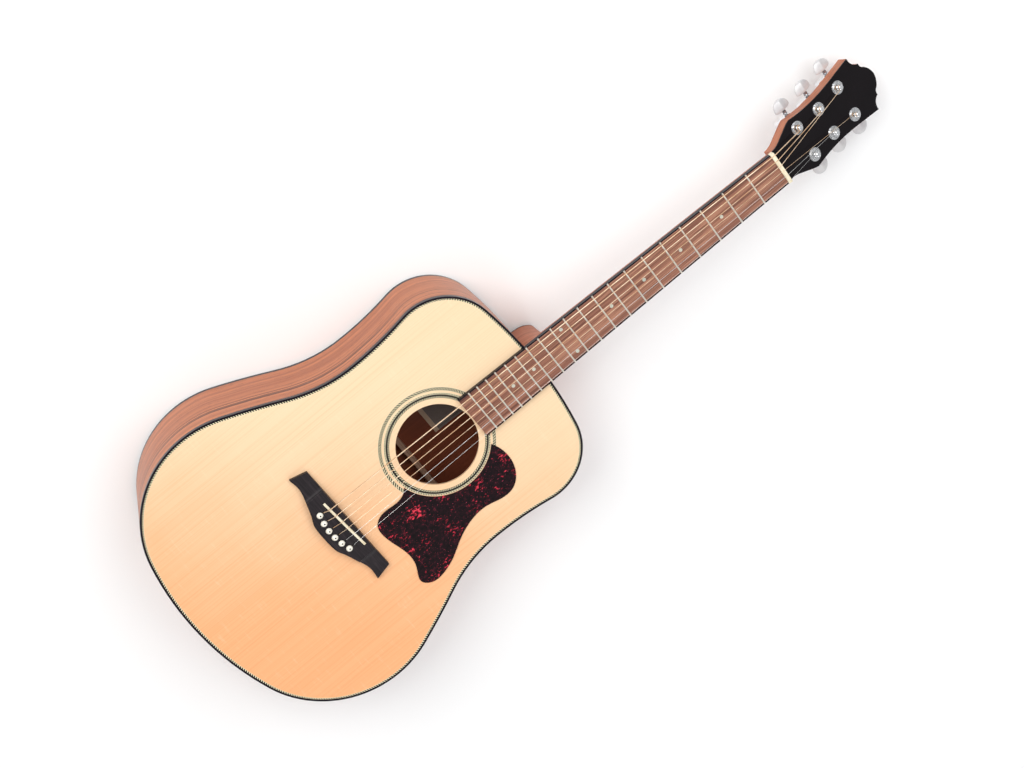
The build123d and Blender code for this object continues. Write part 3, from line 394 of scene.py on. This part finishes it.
def rosewood_board():
    """Reddish-brown fretboard wood with dark streaks and open pores along the neck."""
    graph = Graph("rosewood_board", roughness=0.5, shine=0.35)
    x, y, z = grain_axes(graph)
    run = graph.noise(graph.scaled(x, y, z, (5.0, 30.0, 10.0)), 1.0, 2.0)
    wavy = graph.plus(y, graph.times(run, 0.004))
    streaks = graph.noise(graph.scaled(x, wavy, z, (5.0, 300.0, 60.0)), 1.0, 4.0, 0.6)
    lines = graph.noise(graph.scaled(x, wavy, z, (22.0, 1200.0, 200.0)), 1.0, 4.0, 0.7)
    stops = [(0.32, srgb(82, 46, 37)), (0.45, srgb(141, 92, 74)), (0.6, srgb(178, 126, 101))]
    wood = graph.ramp(streaks, stops)
    pores = graph.times(graph.clamp(lines, 0.46, 0.64), 0.75)
    wood = graph.mix(pores, wood, srgb(88, 54, 46))
    graph.paint(wood)
    graph.gloss(lines, 0.38, 0.6)
    graph.bump(lines, 0.00008, -0.4)
    return graph.material


def planed_wood(name, light, dark, scales, cloud_scale, cloud_share, roughness):
    """Plain planed wood. Its grain runs along the axis that has the smallest scale."""
    graph = Graph(name, roughness=roughness)
    x, y, z = grain_axes(graph)
    lines = graph.noise(graph.scaled(x, y, z, scales), 1.0, 4.0, 0.6)
    cloud = graph.noise(graph.scaled(x, y, z, (cloud_scale,) * 3), 1.0, 2.0)
    wood = graph.mix(graph.clamp(lines, 0.35, 0.7), light, dark)
    wood = graph.mix(graph.times(cloud, cloud_share), wood, dark)
    graph.paint(wood)
    graph.bump(lines, 0.00008, 0.35)
    return graph.material


def black_wood():
    """Ebonised bridge: charcoal with a dim grain, satin."""
    graph = Graph("black_wood", roughness=0.42, shine=0.22)
    x, y, z = grain_axes(graph)
    lines = graph.noise(graph.scaled(x, y, z, (600.0, 26.0, 300.0)), 1.0, 4.0, 0.65)
    stops = [(0.3, srgb(24, 20, 22)), (0.55, srgb(40, 34, 37)), (0.75, srgb(56, 47, 50))]
    graph.paint(graph.ramp(lines, stops))
    graph.gloss(lines, 0.34, 0.52)
    graph.bump(lines, 0.00006, 0.3)
    return graph.material


def black_gloss(name, shade, roughness=0.12):
    """Black lacquer or celluloid with faint polishing haze."""
    graph = Graph(name, roughness=roughness, shine=0.16)
    x, y, z = grain_axes(graph)
    haze = graph.noise(graph.scaled(x, y, z, (35.0, 60.0, 60.0)), 1.0, 4.0)
    fine = graph.noise(graph.scaled(x, y, z, (900.0, 900.0, 900.0)), 1.0, 2.0)
    dark = tuple(part * 0.6 for part in shade[:3])
    graph.paint(graph.mix(haze, (*dark, 1.0), shade))
    graph.gloss(haze, roughness, roughness + 0.14)
    graph.bump(fine, 0.00001, 0.2)
    return graph.material


def tortoise():
    """Dark wine celluloid with crimson flecks in clusters and a sprinkle of small ones."""
    graph = Graph("tortoise", roughness=0.2, shine=0.18)
    x, y, z = grain_axes(graph)
    cluster = graph.noise(graph.scaled(x, y, z, (52.0, 52.0, 1.0)), 1.0, 2.0)
    torn = graph.noise(graph.scaled(x, y, z, (210.0, 330.0, 1.0)), 1.0, 4.0, 0.65, 0.4)
    specks = graph.noise(graph.scaled(x, y, z, (340.0, 520.0, 1.0)), 1.0, 3.0, 0.7)
    mottle = graph.noise(graph.scaled(x, y, z, (160.0, 160.0, 1.0)), 1.0, 4.0, 0.7)
    patches = graph.plus(graph.times(cluster, 0.85), graph.times(torn, 1.2))
    stops = [(0.4, srgb(15, 8, 11)), (0.58, srgb(32, 13, 19)), (0.72, srgb(86, 22, 36))]
    shell = graph.ramp(mottle, stops)
    shell = graph.mix(graph.clamp(patches, 1.16, 1.22), shell, srgb(132, 22, 40))
    shell = graph.mix(graph.clamp(patches, 1.22, 1.3), shell, srgb(226, 64, 82))
    shell = graph.mix(graph.clamp(specks, 0.63, 0.7), shell, srgb(168, 60, 84))
    graph.paint(shell)
    graph.gloss(mottle, 0.16, 0.3)
    graph.bump(mottle, 0.00002, 0.2)
    return graph.material


def bone(name, light, dark, roughness):
    """Off-white bone or plastic with faint streaks."""
    graph = Graph(name, roughness=roughness)
    x, y, z = grain_axes(graph)
    streaks = graph.noise(graph.scaled(x, y, z, (420.0, 70.0, 260.0)), 1.0, 4.0, 0.6)
    graph.paint(graph.mix(graph.clamp(streaks, 0.35, 0.7), light, dark))
    graph.gloss(streaks, roughness - 0.06, roughness + 0.1)
    graph.bump(streaks, 0.00002, 0.2)
    return graph.material


def pearl():
    """Mother-of-pearl: soft cloudy bands between warm white, mint and rose."""
    graph = Graph("pearl", roughness=0.18, coat=0.4)
    x, y, z = grain_axes(graph)
    cloud = graph.noise(graph.scaled(x, y, z, (260.0, 420.0, 260.0)), 1.0, 3.0, 0.6, 1.2)
    rose, milk = srgb(204, 178, 176), srgb(216, 208, 190)
    stops = [(0.3, srgb(196, 184, 168)), (0.45, milk), (0.58, srgb(176, 192, 178)), (0.7, rose)]
    graph.paint(graph.ramp(cloud, stops))
    graph.bump(cloud, 0.00002, 0.2)
    return graph.material


def metal(name, light, dark, roughness, smear_scales=(240.0, 240.0, 240.0)):
    """Polished or machined metal with fine smears in its tone and gloss. On the bushing flanges the
    dark tone is painted shade and painted dark reflection.
    """
    graph = Graph(name, roughness=roughness, metallic=1.0)
    x, y, z = grain_axes(graph)
    # Fine smears in tone; on the bushing flanges they mix in painted shade and painted dark
    # reflection.
    smear_and_shade = graph.noise(graph.scaled(x, y, z, smear_scales), 1.0, 4.0, 0.6)
    graph.paint(graph.mix(graph.clamp(smear_and_shade, 0.3, 0.75), light, dark))
    graph.gloss(smear_and_shade, roughness, roughness + 0.14)
    graph.bump(smear_and_shade, 0.000015, 0.25)
    return graph.material


def pearl_chrome():
    """Satin chrome of the keys with a soft pearly haze."""
    graph = Graph("pearl_chrome", roughness=0.36, metallic=0.35)
    x, y, z = grain_axes(graph)
    haze = graph.noise(graph.scaled(x, y, z, (110.0, 110.0, 110.0)), 1.0, 3.0)
    graph.paint(graph.mix(graph.clamp(haze, 0.3, 0.7), srgb(224, 223, 223), srgb(206, 204, 206)))
    graph.gloss(haze, 0.3, 0.42)
    graph.bump(haze, 0.00001, 0.2)
    return graph.material


def rosette_inlay():
    """Rope rings either side of a black line, and one more rope ring outside them.

    The strands lean one way inside the black line and the other way outside it.
    """
    graph = Graph("rosette_inlay", roughness=0.35, shine=0.35)
    x = graph.along(TOP_X, SOUNDHOLE)
    y = graph.along(TOP_Y, SOUNDHOLE)
    squares = graph.plus(graph.times(x, x), graph.times(y, y))
    radius = graph.math("SQRT", squares)
    angle = graph.math("ARCTAN2", y, x)
    ring_middle = 0.0613
    strand_slope = 0.9
    arc = graph.times(angle, ring_middle)
    inside = graph.clamp(radius, ring_middle + 0.0001, ring_middle - 0.0001)
    slant = graph.times(graph.math("SUBTRACT", radius, ring_middle), strand_slope)
    side = graph.math("SUBTRACT", graph.times(inside, 2.0), 1.0)
    lines = rope_pattern(graph, graph.plus(arc, graph.times(slant, side)))
    cream, black = srgb(222, 210, 176), srgb(18, 18, 16)
    broad_line = ((0.0591, 0.0613),)
    cream_lines = ((0.0613, 0.0618), (0.0631, 0.0637), (0.0658, 0.0664), (0.0698, 0.0706))
    black_lines = ((0.0568, 0.0573), (0.0664, 0.0667), (0.0695, 0.0698))
    for rings, color in ((broad_line, black), (cream_lines, cream), (black_lines, black)):
        for low, high in rings:
            lines = graph.mix(band(graph, radius, low, high), lines, color)
    graph.paint(lines)
    grain = graph.noise(graph.scaled(x, y, x, (900.0, 900.0, 1.0)), 1.0, 2.0)
    graph.gloss(grain, 0.3, 0.45)
    graph.bump(grain, 0.00002, 0.2)
    return graph.material


def band(graph, value, low, high):
    """1 between two limits and 0 outside them, with a soft edge."""
    edge = 0.00008
    rise = graph.clamp(value, low - edge, low + edge)
    fall = graph.clamp(value, high + edge, high - edge)
    return graph.times(rise, fall)


def rope_pattern(graph, length):
    """Light and dark strands that repeat along an inlay, unevenly as laid by hand."""
    pitch = 0.003
    wobble = graph.noise(graph.vector(graph.times(length, 160.0), 0.0), 1.0, 2.0)
    turns = graph.plus(graph.math("DIVIDE", length, pitch), graph.times(wobble, 0.25))
    wave = graph.math("SINE", graph.times(turns, 2 * math.pi))
    black, cream = srgb(14, 14, 12), srgb(244, 232, 194)
    stops = [(0.0, black), (0.52, srgb(34, 32, 22)), (0.66, srgb(216, 204, 164)), (1.0, cream)]
    return graph.ramp(graph.math("MULTIPLY_ADD", wave, 0.5, 0.5), stops)


def rope_edge():
    """Rope purfling whose strands follow the edge of the soundboard."""
    graph = Graph("rope_edge", roughness=0.35, shine=0.35)
    along = graph.add("Attribute", {}, attribute_name="along").outputs["Fac"]
    across = graph.add("Attribute", {}, attribute_name="across").outputs["Fac"]
    strand_lean = 0.0016
    rope = rope_pattern(graph, graph.math("MULTIPLY_ADD", across, strand_lean, along))
    cream, black = srgb(224, 214, 184), srgb(18, 17, 17)
    lines = graph.mix(graph.clamp(across, 0.84, 0.88), rope, cream)
    lines = graph.mix(graph.clamp(across, 0.16, 0.12), lines, black)
    graph.paint(lines)
    grain = graph.noise(graph.vector(graph.times(along, 900.0), across), 1.0, 2.0)
    graph.gloss(grain, 0.24, 0.4)
    graph.bump(grain, 0.00002, 0.2)
    return graph.material


def paper_label():
    """Blank paper label with a light band at its tail end and a printed border line, its paper
    painted darker as shade inside the body.
    """
    graph = Graph("paper_label", roughness=0.85)
    along, across = Vector((1, 0, 0)), Vector((0, 1, 0))
    x, y, z = grain_axes(graph)
    low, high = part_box("label")
    middle = (low + high) / 2
    reach_x = graph.math("ABSOLUTE", graph.along(along, middle))
    reach_y = graph.math("ABSOLUTE", graph.along(across, middle))
    from_x = graph.math("SUBTRACT", (high.x - low.x) / 2, reach_x)
    from_y = graph.math("SUBTRACT", (high.y - low.y) / 2, reach_y)
    edge = graph.math("MINIMUM", from_x, from_y)
    line = band(graph, edge, 0.003, 0.0037)
    tail_band = graph.clamp(graph.along(along, low), 0.0062, 0.0058)
    fibres = graph.noise(graph.scaled(x, y, z, (500.0, 700.0, 500.0)), 1.0, 4.0, 0.7)
    # Paper colour painted darker: painted shade on the label inside the body.
    shaded_paper = graph.mix(fibres, srgb(118, 104, 98), srgb(146, 132, 124))
    shaded_paper = graph.mix(graph.times(line, 0.8), shaded_paper, srgb(70, 62, 60))
    graph.paint(graph.mix(tail_band, shaded_paper, srgb(206, 178, 152)))
    graph.bump(fibres, 0.00004, 0.3)
    return graph.material


def string_metal(name, light, dark):
    """String metal: bright, with a slight tarnish that changes along the string."""
    graph = Graph(name, roughness=0.3, metallic=1.0)
    x, y, z = grain_axes(graph)
    tarnish = graph.noise(graph.scaled(x, y, z, (60.0, 60.0, 60.0)), 1.0, 3.0)
    fine = graph.noise(graph.scaled(x, y, z, (2600.0, 400.0, 400.0)), 1.0, 2.0)
    graph.paint(graph.mix(graph.clamp(tarnish, 0.35, 0.7), light, dark))
    graph.gloss(fine, 0.24, 0.42)
    graph.bump(fine, 0.00002, 0.3)
    return graph.material


# ---- Mesh helpers ----
def add_piece(name, vertices, faces, body, material, smooth_angle=35):
    """Mesh piece that rides on a body and has one material."""
    mesh = bpy.data.meshes.new(name)
    mesh.from_pydata([tuple(vertex) for vertex in vertices], [], faces)
    mesh.validate()
    mesh.materials.append(material)
    mesh.shade_smooth()
    mesh.set_sharp_from_angle(angle=math.radians(smooth_angle))
    piece = bpy.data.objects.new(name, mesh)
    bpy.context.scene.collection.objects.link(piece)
    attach(piece, body)
    return piece


def ring_faces(ring_count, sides):
    """Quads between neighbouring rings of points."""
    faces = []
    for ring in range(ring_count - 1):
        for side in range(sides):
            after = (side + 1) % sides
            low, high = ring * sides, (ring + 1) * sides
            faces.append((low + side, low + after, high + after, high + side))
    return faces


def capped_faces(ring_count, sides):
    """Closed tube's faces: the quads and both end caps."""
    first = tuple(reversed(range(sides)))
    last = tuple((ring_count - 1) * sides + side for side in range(sides))
    return ring_faces(ring_count, sides) + [first, last]


def tube(points, radii, sides):
    """Vertices and faces of a closed tube along points, with a radius at each."""
    vertices = []
    normal = (points[1] - points[0]).orthogonal().normalized()
    for index, (point, radius) in enumerate(zip(points, radii)):
        ahead = points[min(index + 1, len(points) - 1)] - points[max(index - 1, 0)]
        tangent = ahead.normalized()
        normal = (normal - tangent * normal.dot(tangent)).normalized()
        binormal = tangent.cross(normal)
        for side in range(sides):
            angle = 2 * math.pi * side / sides
            vertices.append(point + (normal * math.cos(angle) + binormal * math.sin(angle)) * radius)
    return vertices, capped_faces(len(points), sides)


def lathe(profile, origin, axis, sides=32):
    """Vertices and faces of a closed turned piece from (height, radius) points."""
    normal = axis.orthogonal().normalized()
    binormal = axis.cross(normal)
    vertices = []
    for height, radius in profile:
        for side in range(sides):
            angle = 2 * math.pi * side / sides
            spoke = normal * math.cos(angle) + binormal * math.sin(angle)
            vertices.append(origin + axis * height + spoke * radius)
    return vertices, capped_faces(len(profile), sides)


def rounded_route(corners, bends):
    """Straight runs with each inner corner rounded to its own bend radius."""
    steps = 6
    points = [corners[0]]
    for before, corner, after, bend in zip(corners, corners[1:], corners[2:], bends):
        back = (before - corner).normalized()
        ahead = (after - corner).normalized()
        half = back.angle(ahead) / 2
        reach = bend / math.tan(half)
        centre = corner + (back + ahead).normalized() * (bend / math.sin(half))
        first = corner + back * reach - centre
        last = corner + ahead * reach - centre
        for step in range(steps + 1):
            turned = first.normalized().slerp(last.normalized(), step / steps)
            points.append(centre + turned * bend)
    return points + [corners[-1]]


def divided(points, longest):
    """Route with extra points, so that no step is longer than a given length."""
    made = [points[0]]
    for start, end in zip(points, points[1:]):
        count = max(1, math.ceil((end - start).length / longest))
        made += [start.lerp(end, step / count) for step in range(1, count + 1)]
    return made


# ---- Strings ----
def tuner_frame(number):
    """Post's origin on the head's face, and the direction away from the centreline."""
    origin = Vector(joints[f"tuner_{number}_capstan_turn"]["pos_m"])
    return origin, TOP_Y * math.copysign(1, origin.y)


def string_route(number, radius):
    """Corners of a string's route from its ball end to the post, with the bend radii."""
    pin = top_local(box_centre(f"bridge_pin_{number}"))
    across = number - 3.5
    saddle_y, nut_y = across * string_spacing_saddle, across * string_spacing_nut
    saddle_at = saddle_x - saddle_y * math.tan(saddle_slant) - saddle_width * 0.4
    saddle_z = saddle_top - crown_drop(saddle_y) + radius + string_rest_gap
    nut_z = string_nut_height - crown_drop(nut_y) + radius
    hole_x = pin.x + pin_radius + 0.0002
    post, outward = tuner_frame(number)
    wrap = post_waist_radius + radius + wire_gap
    corners = [
        top_point(hole_x + ball_shift, pin.y, ball_z),
        top_point(hole_x, pin.y, -0.005),
        top_point(hole_x, pin.y, bridge_height - 0.0022),
        top_point(pin.x + pin_radius + 0.0035, pin.y, bridge_height + 0.0003 + radius),
        top_point(saddle_at, saddle_y, saddle_z),
        top_point(nut_x + nut_length + 0.0001, nut_y, nut_z),
        post - outward * wrap + HEAD_Z * post_string_height,
    ]
    return corners, (0.001, 0.001, 0.001, 0.0015, 0.0015)


def wound_radii(count, radius):
    """Radii that rise and fall with the wrap wire of a wound string."""
    ridge = 0.09
    return [radius * (1 - ridge * (index % 2)) for index in range(count)]


def add_string(number, radius, material):
    """String from its ball to the post. Wound strings have raised wrap wire."""
    corners, bends = string_route(number, radius)
    wound = number >= first_wound_string
    longest_step = 0.00045 if wound else 0.01
    points = divided(rounded_route(corners, bends), longest_step)
    radii = wound_radii(len(points), radius) if wound else [radius] * len(points)
    vertices, faces = tube(points, radii, 8)
    half, rim, waist, eye = 0.0019, 0.00195, 0.0015, 0.0006
    profile = [(-half, eye), (-half, rim), (-half * 0.6, rim), (-half * 0.3, waist),
               (half * 0.3, waist), (half * 0.6, rim), (half, rim), (half, eye)]
    ball_vertices, ball_faces = lathe(profile, corners[0], TOP_Y, 20)
    shift = len(vertices)
    faces += [tuple(index + shift for index in face) for face in ball_faces]
    return add_piece(f"string_{number}", vertices + ball_vertices, faces, "guitar_body",
                     material)


def add_coil(number, radius, material):
    """Turns of the string round its post, which turn with the post."""
    post, outward = tuner_frame(number)
    pitch = 2.04 * radius
    turns = (coil_top_height - post_string_height - radius) / pitch
    reach = post_waist_radius + radius + wire_gap
    steps = max(24, int(turns * 28))
    points = []
    for step in range(steps + 1):
        angle = 2 * math.pi * turns * step / steps
        spoke = HEAD_X * math.sin(angle) - outward * math.cos(angle)
        height = post_string_height + pitch * turns * step / steps
        points.append(post + spoke * reach + HEAD_Z * height)
    radii = [radius * 0.98] * len(points)
    vertices, faces = tube(points, radii, 8)
    return add_piece(f"string_coil_{number}", vertices, faces, f"tuner_{number}_capstan",
                     material)


# ---- Tuning machines ----
def button_outline():
    """Half-moon outline: (along the shaft, across it), flatter towards the head."""
    steps = 40
    root_gap, middle = 0.0003, 0.0048
    round_power, flat_power = 2.1, 3.6
    points = []
    for step in range(steps):
        angle = 2 * math.pi * step / steps
        across = math.sin(angle)
        along = math.cos(angle)
        reach = button_length - middle if along > 0 else middle - root_gap
        power = round_power if along > 0 else flat_power
        scale = (abs(across) ** power + abs(along) ** power) ** (-1 / power)
        points.append((middle + reach * along * scale, button_half_span * across * scale))
    return points


def add_button(number, material):
    """Faceted half-moon key with a ridge along its shaft on both faces."""
    key = joints[f"tuner_{number}_key_turn"]
    axis = Vector(key["axis"])
    root = Vector(key["pos_m"]) + axis * button_gap
    outline = button_outline()
    centre, ridge_half, fall, rim_share = 0.0062, 0.0034, 0.2, 0.3
    rings = (0.0, 0.35, 0.65, 0.85, 0.94, 0.985, 1.0)
    vertices, faces = [], []
    sides = len(outline)
    for sign in (1, -1):
        for share in rings:
            thickness = rim_share + (1 - rim_share) * math.sqrt(1 - share**7)
            for along, across in outline:
                height = sign * thickness * (ridge_half - fall * abs(across * share))
                spot = root + axis * (centre + (along - centre) * share)
                vertices.append(spot + HEAD_X * across * share + HEAD_Z * height)
    count = len(rings)
    for ring in range(count - 1):
        for side in range(sides):
            after = (side + 1) % sides
            for half, flip in ((0, False), (count, True)):
                low, high = (half + ring) * sides, (half + ring + 1) * sides
                quad = (low + side, high + side, high + after, low + after)
                faces.append(tuple(reversed(quad)) if flip else quad)
    rim_a, rim_b = (count - 1) * sides, (2 * count - 1) * sides
    for side in range(sides):
        after = (side + 1) % sides
        faces.append((rim_a + side, rim_b + side, rim_b + after, rim_a + after))
    piece = add_piece(f"key_button_{number}", vertices, faces, f"tuner_{number}_key",
                      material, 14)
    merge(piece)
    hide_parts(f"tuner_{number}_button")
    return piece


def merge(piece):
    """Join vertices that lie on each other, and turn the faces outwards."""
    work = bmesh.new()
    work.from_mesh(piece.data)
    bmesh.ops.remove_doubles(work, verts=work.verts, dist=1e-7)
    bmesh.ops.recalc_face_normals(work, faces=work.faces)
    work.to_mesh(piece.data)
    work.free()


def add_collar(number, material):
    """Stepped ferrule on the key's shaft, between the housing and the button."""
    key = joints[f"tuner_{number}_key_turn"]
    axis = Vector(key["axis"])
    start = button_gap - 0.0044
    neck, flange, ring = 0.0021, 0.0027, 0.0026
    profile = [(start, 0.0016), (start, flange), (start + 0.0007, 0.003), (start + 0.0013, flange),
               (start + 0.0014, neck), (start + 0.0023, neck), (start + 0.0025, ring),
               (start + 0.0036, ring), (start + 0.0041, 0.0018)]
    vertices, faces = lathe(profile, Vector(key["pos_m"]), axis, 28)
    return add_piece(f"key_collar_{number}", vertices, faces, f"tuner_{number}_key", material)


# ---- Bridge pins ----
def add_pin_dot(number, material):
    """Black dot let into the head of a bridge pin."""
    pin = top_local(box_centre(f"bridge_pin_{number}"))
    profile = [(-0.0006, 0.0009), (0.00002, 0.0009), (0.0001, 0.0007), (0.00013, 0.0003)]
    vertices, faces = lathe(profile, top_point(pin.x, pin.y, pin_head_top), TOP_Z, 20)
    return add_piece(f"pin_dot_{number}", vertices, faces, f"pin_{number}", material)


# ---- Rope purfling round the soundboard ----
def loops_of(node, direction):
    """Boundary loops of a CAD node's faces that look in one direction, as lists of points."""
    work = bmesh.new()
    work.from_mesh(nodes[node].data)
    bmesh.ops.remove_doubles(work, verts=work.verts, dist=1e-6)
    facing = [face for face in work.faces if face.normal.dot(direction) > 0.99]
    chosen = set(facing)
    links = {}
    for face in facing:
        for edge in face.edges:
            if sum(other in chosen for other in edge.link_faces) == 1:
                for here, there in (edge.verts, reversed(edge.verts)):
                    links.setdefault(here, []).append(there)
    loops = []
    while links:
        start = next(iter(links))
        loop, last, here = [start], None, start
        while True:
            onward = [vertex for vertex in links[here] if vertex != last]
            last, here = here, onward[0]
            if here == start:
                break
            loop.append(here)
        for vertex in loop:
            links.pop(vertex)
        loops.append([vertex.co.copy() for vertex in loop])
    work.free()
    return sorted(loops, key=len, reverse=True)


def add_purfling(material):
    """Purfling band with its length and width stored for the rope pattern.

    It is a closed band: the top is a hair proud of the wood between its two edges.
    """
    loops = loops_of("top_purfling", TOP_Z)[:2]
    inner, outer = sorted(loops, key=lambda loop: max(point.y for point in loop))
    depth = 0.0012
    lift = 0.00003
    shares = (0.0, 0.0, 0.15, 0.85, 1.0, 1.0)
    heights = (-depth, 0.0, lift, lift, 0.0, -depth)
    vertices, along_values, across_values = [], [], []
    length = 0.0
    for index, point in enumerate(outer):
        if index:
            length += (point - outer[index - 1]).length
        partner = min(inner, key=lambda other: (other - point).length_squared)
        for share, height in zip(shares, heights):
            vertices.append(point.lerp(partner, share) + TOP_Z * height)
            along_values.append(length)
            across_values.append(share)
    width = len(shares)
    faces = []
    for index in range(len(outer)):
        low, high = index * width, (index + 1) % len(outer) * width
        for side in range(width):
            after = (side + 1) % width
            faces.append((low + side, high + side, high + after, low + after))
    piece = add_piece("rope_purfling", vertices, faces, "guitar_body", material)
    for name, values in (("along", along_values), ("across", across_values)):
        attribute = piece.data.attributes.new(name, "FLOAT", "POINT")
        attribute.data.foreach_set("value", values)
    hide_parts("top_purfling")
    return piece


# ---- Finish of the CAD nodes ----
def give(material, *names):
    """Put one material on CAD nodes."""
    for name in names:
        data = nodes[name].data
        data.materials.clear()
        data.materials.append(material)


def soften(name, width):
    """Round the sharp edges of a CAD node a little."""
    bevel = nodes[name].modifiers.new("soft_edges", "BEVEL")
    bevel.width = width
    bevel.segments = 2
    bevel.limit_method = "ANGLE"
    bevel.angle_limit = math.radians(40)
    bevel.harden_normals = False


def finish_nodes():
    """Materials of the CAD nodes. Returns the black one, which the pin dots share."""
    side_wood = mahogany("side_mahogany", srgb(206, 127, 84), srgb(170, 98, 64), srgb(84, 44, 30),
                         TOP_Z, (95.0, 420.0), edge_streaks=True)
    # The back's inside faces get bare wood colour with painted shade on it.
    back_wood = mahogany("back_mahogany", srgb(196, 120, 84), srgb(138, 74, 52), srgb(70, 36, 28),
                         TOP_Y, (60.0, 420.0), shaded_bare_side=Vector((0, 0, 1)))
    neck_wood = mahogany("neck_mahogany", srgb(200, 131, 101), srgb(162, 98, 74), srgb(98, 58, 44),
                         TOP_Y * 0.4 + TOP_Z, (70.0, 600.0), (0.36, 0.5))
    brace_wood = planed_wood("brace_wood", srgb(196, 158, 132), srgb(156, 116, 92),
                             (480.0, 12.0, 480.0), 14.0, 0.4, 0.62)
    lining_wood = planed_wood("lining_wood", srgb(200, 164, 120), srgb(150, 110, 74),
                              (14.0, 350.0, 350.0), 12.0, 0.35, 0.6)
    chrome = metal("chrome", (0.86, 0.86, 0.87), (0.72, 0.72, 0.74), 0.08)
    nickel = metal("nickel", (1.0, 0.95, 0.84), (0.92, 0.86, 0.74), 0.24)
    # Bushing flanges: the dark grey is painted shade and painted dark reflection of the gap round the
    # hex.
    shaded_flange_chrome = metal("shaded_flange_chrome", (0.86, 0.86, 0.86), (0.36, 0.36, 0.37), 0.1,
                          (700.0, 700.0, 700.0))
    steel = metal("steel", (0.42, 0.42, 0.43), (0.3, 0.3, 0.31), 0.34, (60.0, 900.0, 900.0))
    black_edge = black_gloss("black_binding", srgb(30, 26, 34))
    give(spruce_top(), "soundboard")
    give(rosette_inlay(), "rosette")
    give(black_edge, "top_binding", "back_binding", "fretboard_binding", "heel_cap")
    give(side_wood, "side_bass", "side_treble")
    give(back_wood, "back")
    give(neck_wood, "neck")
    give(brace_wood, "back_braces", "upper_transverse_brace", "x_brace", "tone_and_finger_braces")
    give(lining_wood, "kerfed_linings", "neck_block", "tail_block", "bridge_plate")
    give(paper_label(), "label")
    give(tortoise(), "pickguard")
    give(black_wood(), "bridge")
    give(bone("bone", srgb(240, 230, 204), srgb(220, 204, 170), 0.32), "nut", "saddle")
    give(rosewood_board(), "fretboard")
    give(pearl(), "position_dots")
    give(nickel, "frets")
    give(black_gloss("head_lacquer", srgb(20, 15, 18), 0.16), "head_veneer")
    give(steel, "truss_rod", "truss_rod_nut")
    give(chrome, "tuner_housings", "tuner_washers", "tuner_screws")
    give(shaded_flange_chrome, "tuner_bushings")
    pin_plastic = bone("pin_plastic", srgb(250, 246, 234), srgb(236, 228, 210), 0.22)
    for number in range(1, 7):
        give(chrome, f"tuner_{number}_post")
        give(steel, f"tuner_{number}_worm")
        give(pin_plastic, f"bridge_pin_{number}")
    return black_edge


add_camera()
add_stage()
black_edge = finish_nodes()
soften("pickguard", 0.0005)
soften("top_binding", 0.0007)
soften("back_binding", 0.0009)

bronze = string_metal("wound_bronze", srgb(238, 214, 186), srgb(206, 166, 128))
plain_steel = string_metal("plain_steel", (0.82, 0.81, 0.8), (0.66, 0.65, 0.63))
button_metal = pearl_chrome()
dark_chrome = metal("dark_chrome", (0.46, 0.46, 0.48), (0.26, 0.26, 0.28), 0.12)
for number, radius in enumerate(string_radii, start=1):
    wire = bronze if number >= first_wound_string else plain_steel
    add_string(number, radius, wire)
    add_coil(number, radius, wire)
    add_button(number, button_metal)
    add_collar(number, dark_chrome)
    add_pin_dot(number, black_edge)
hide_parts("strings")
add_purfling(rope_edge())
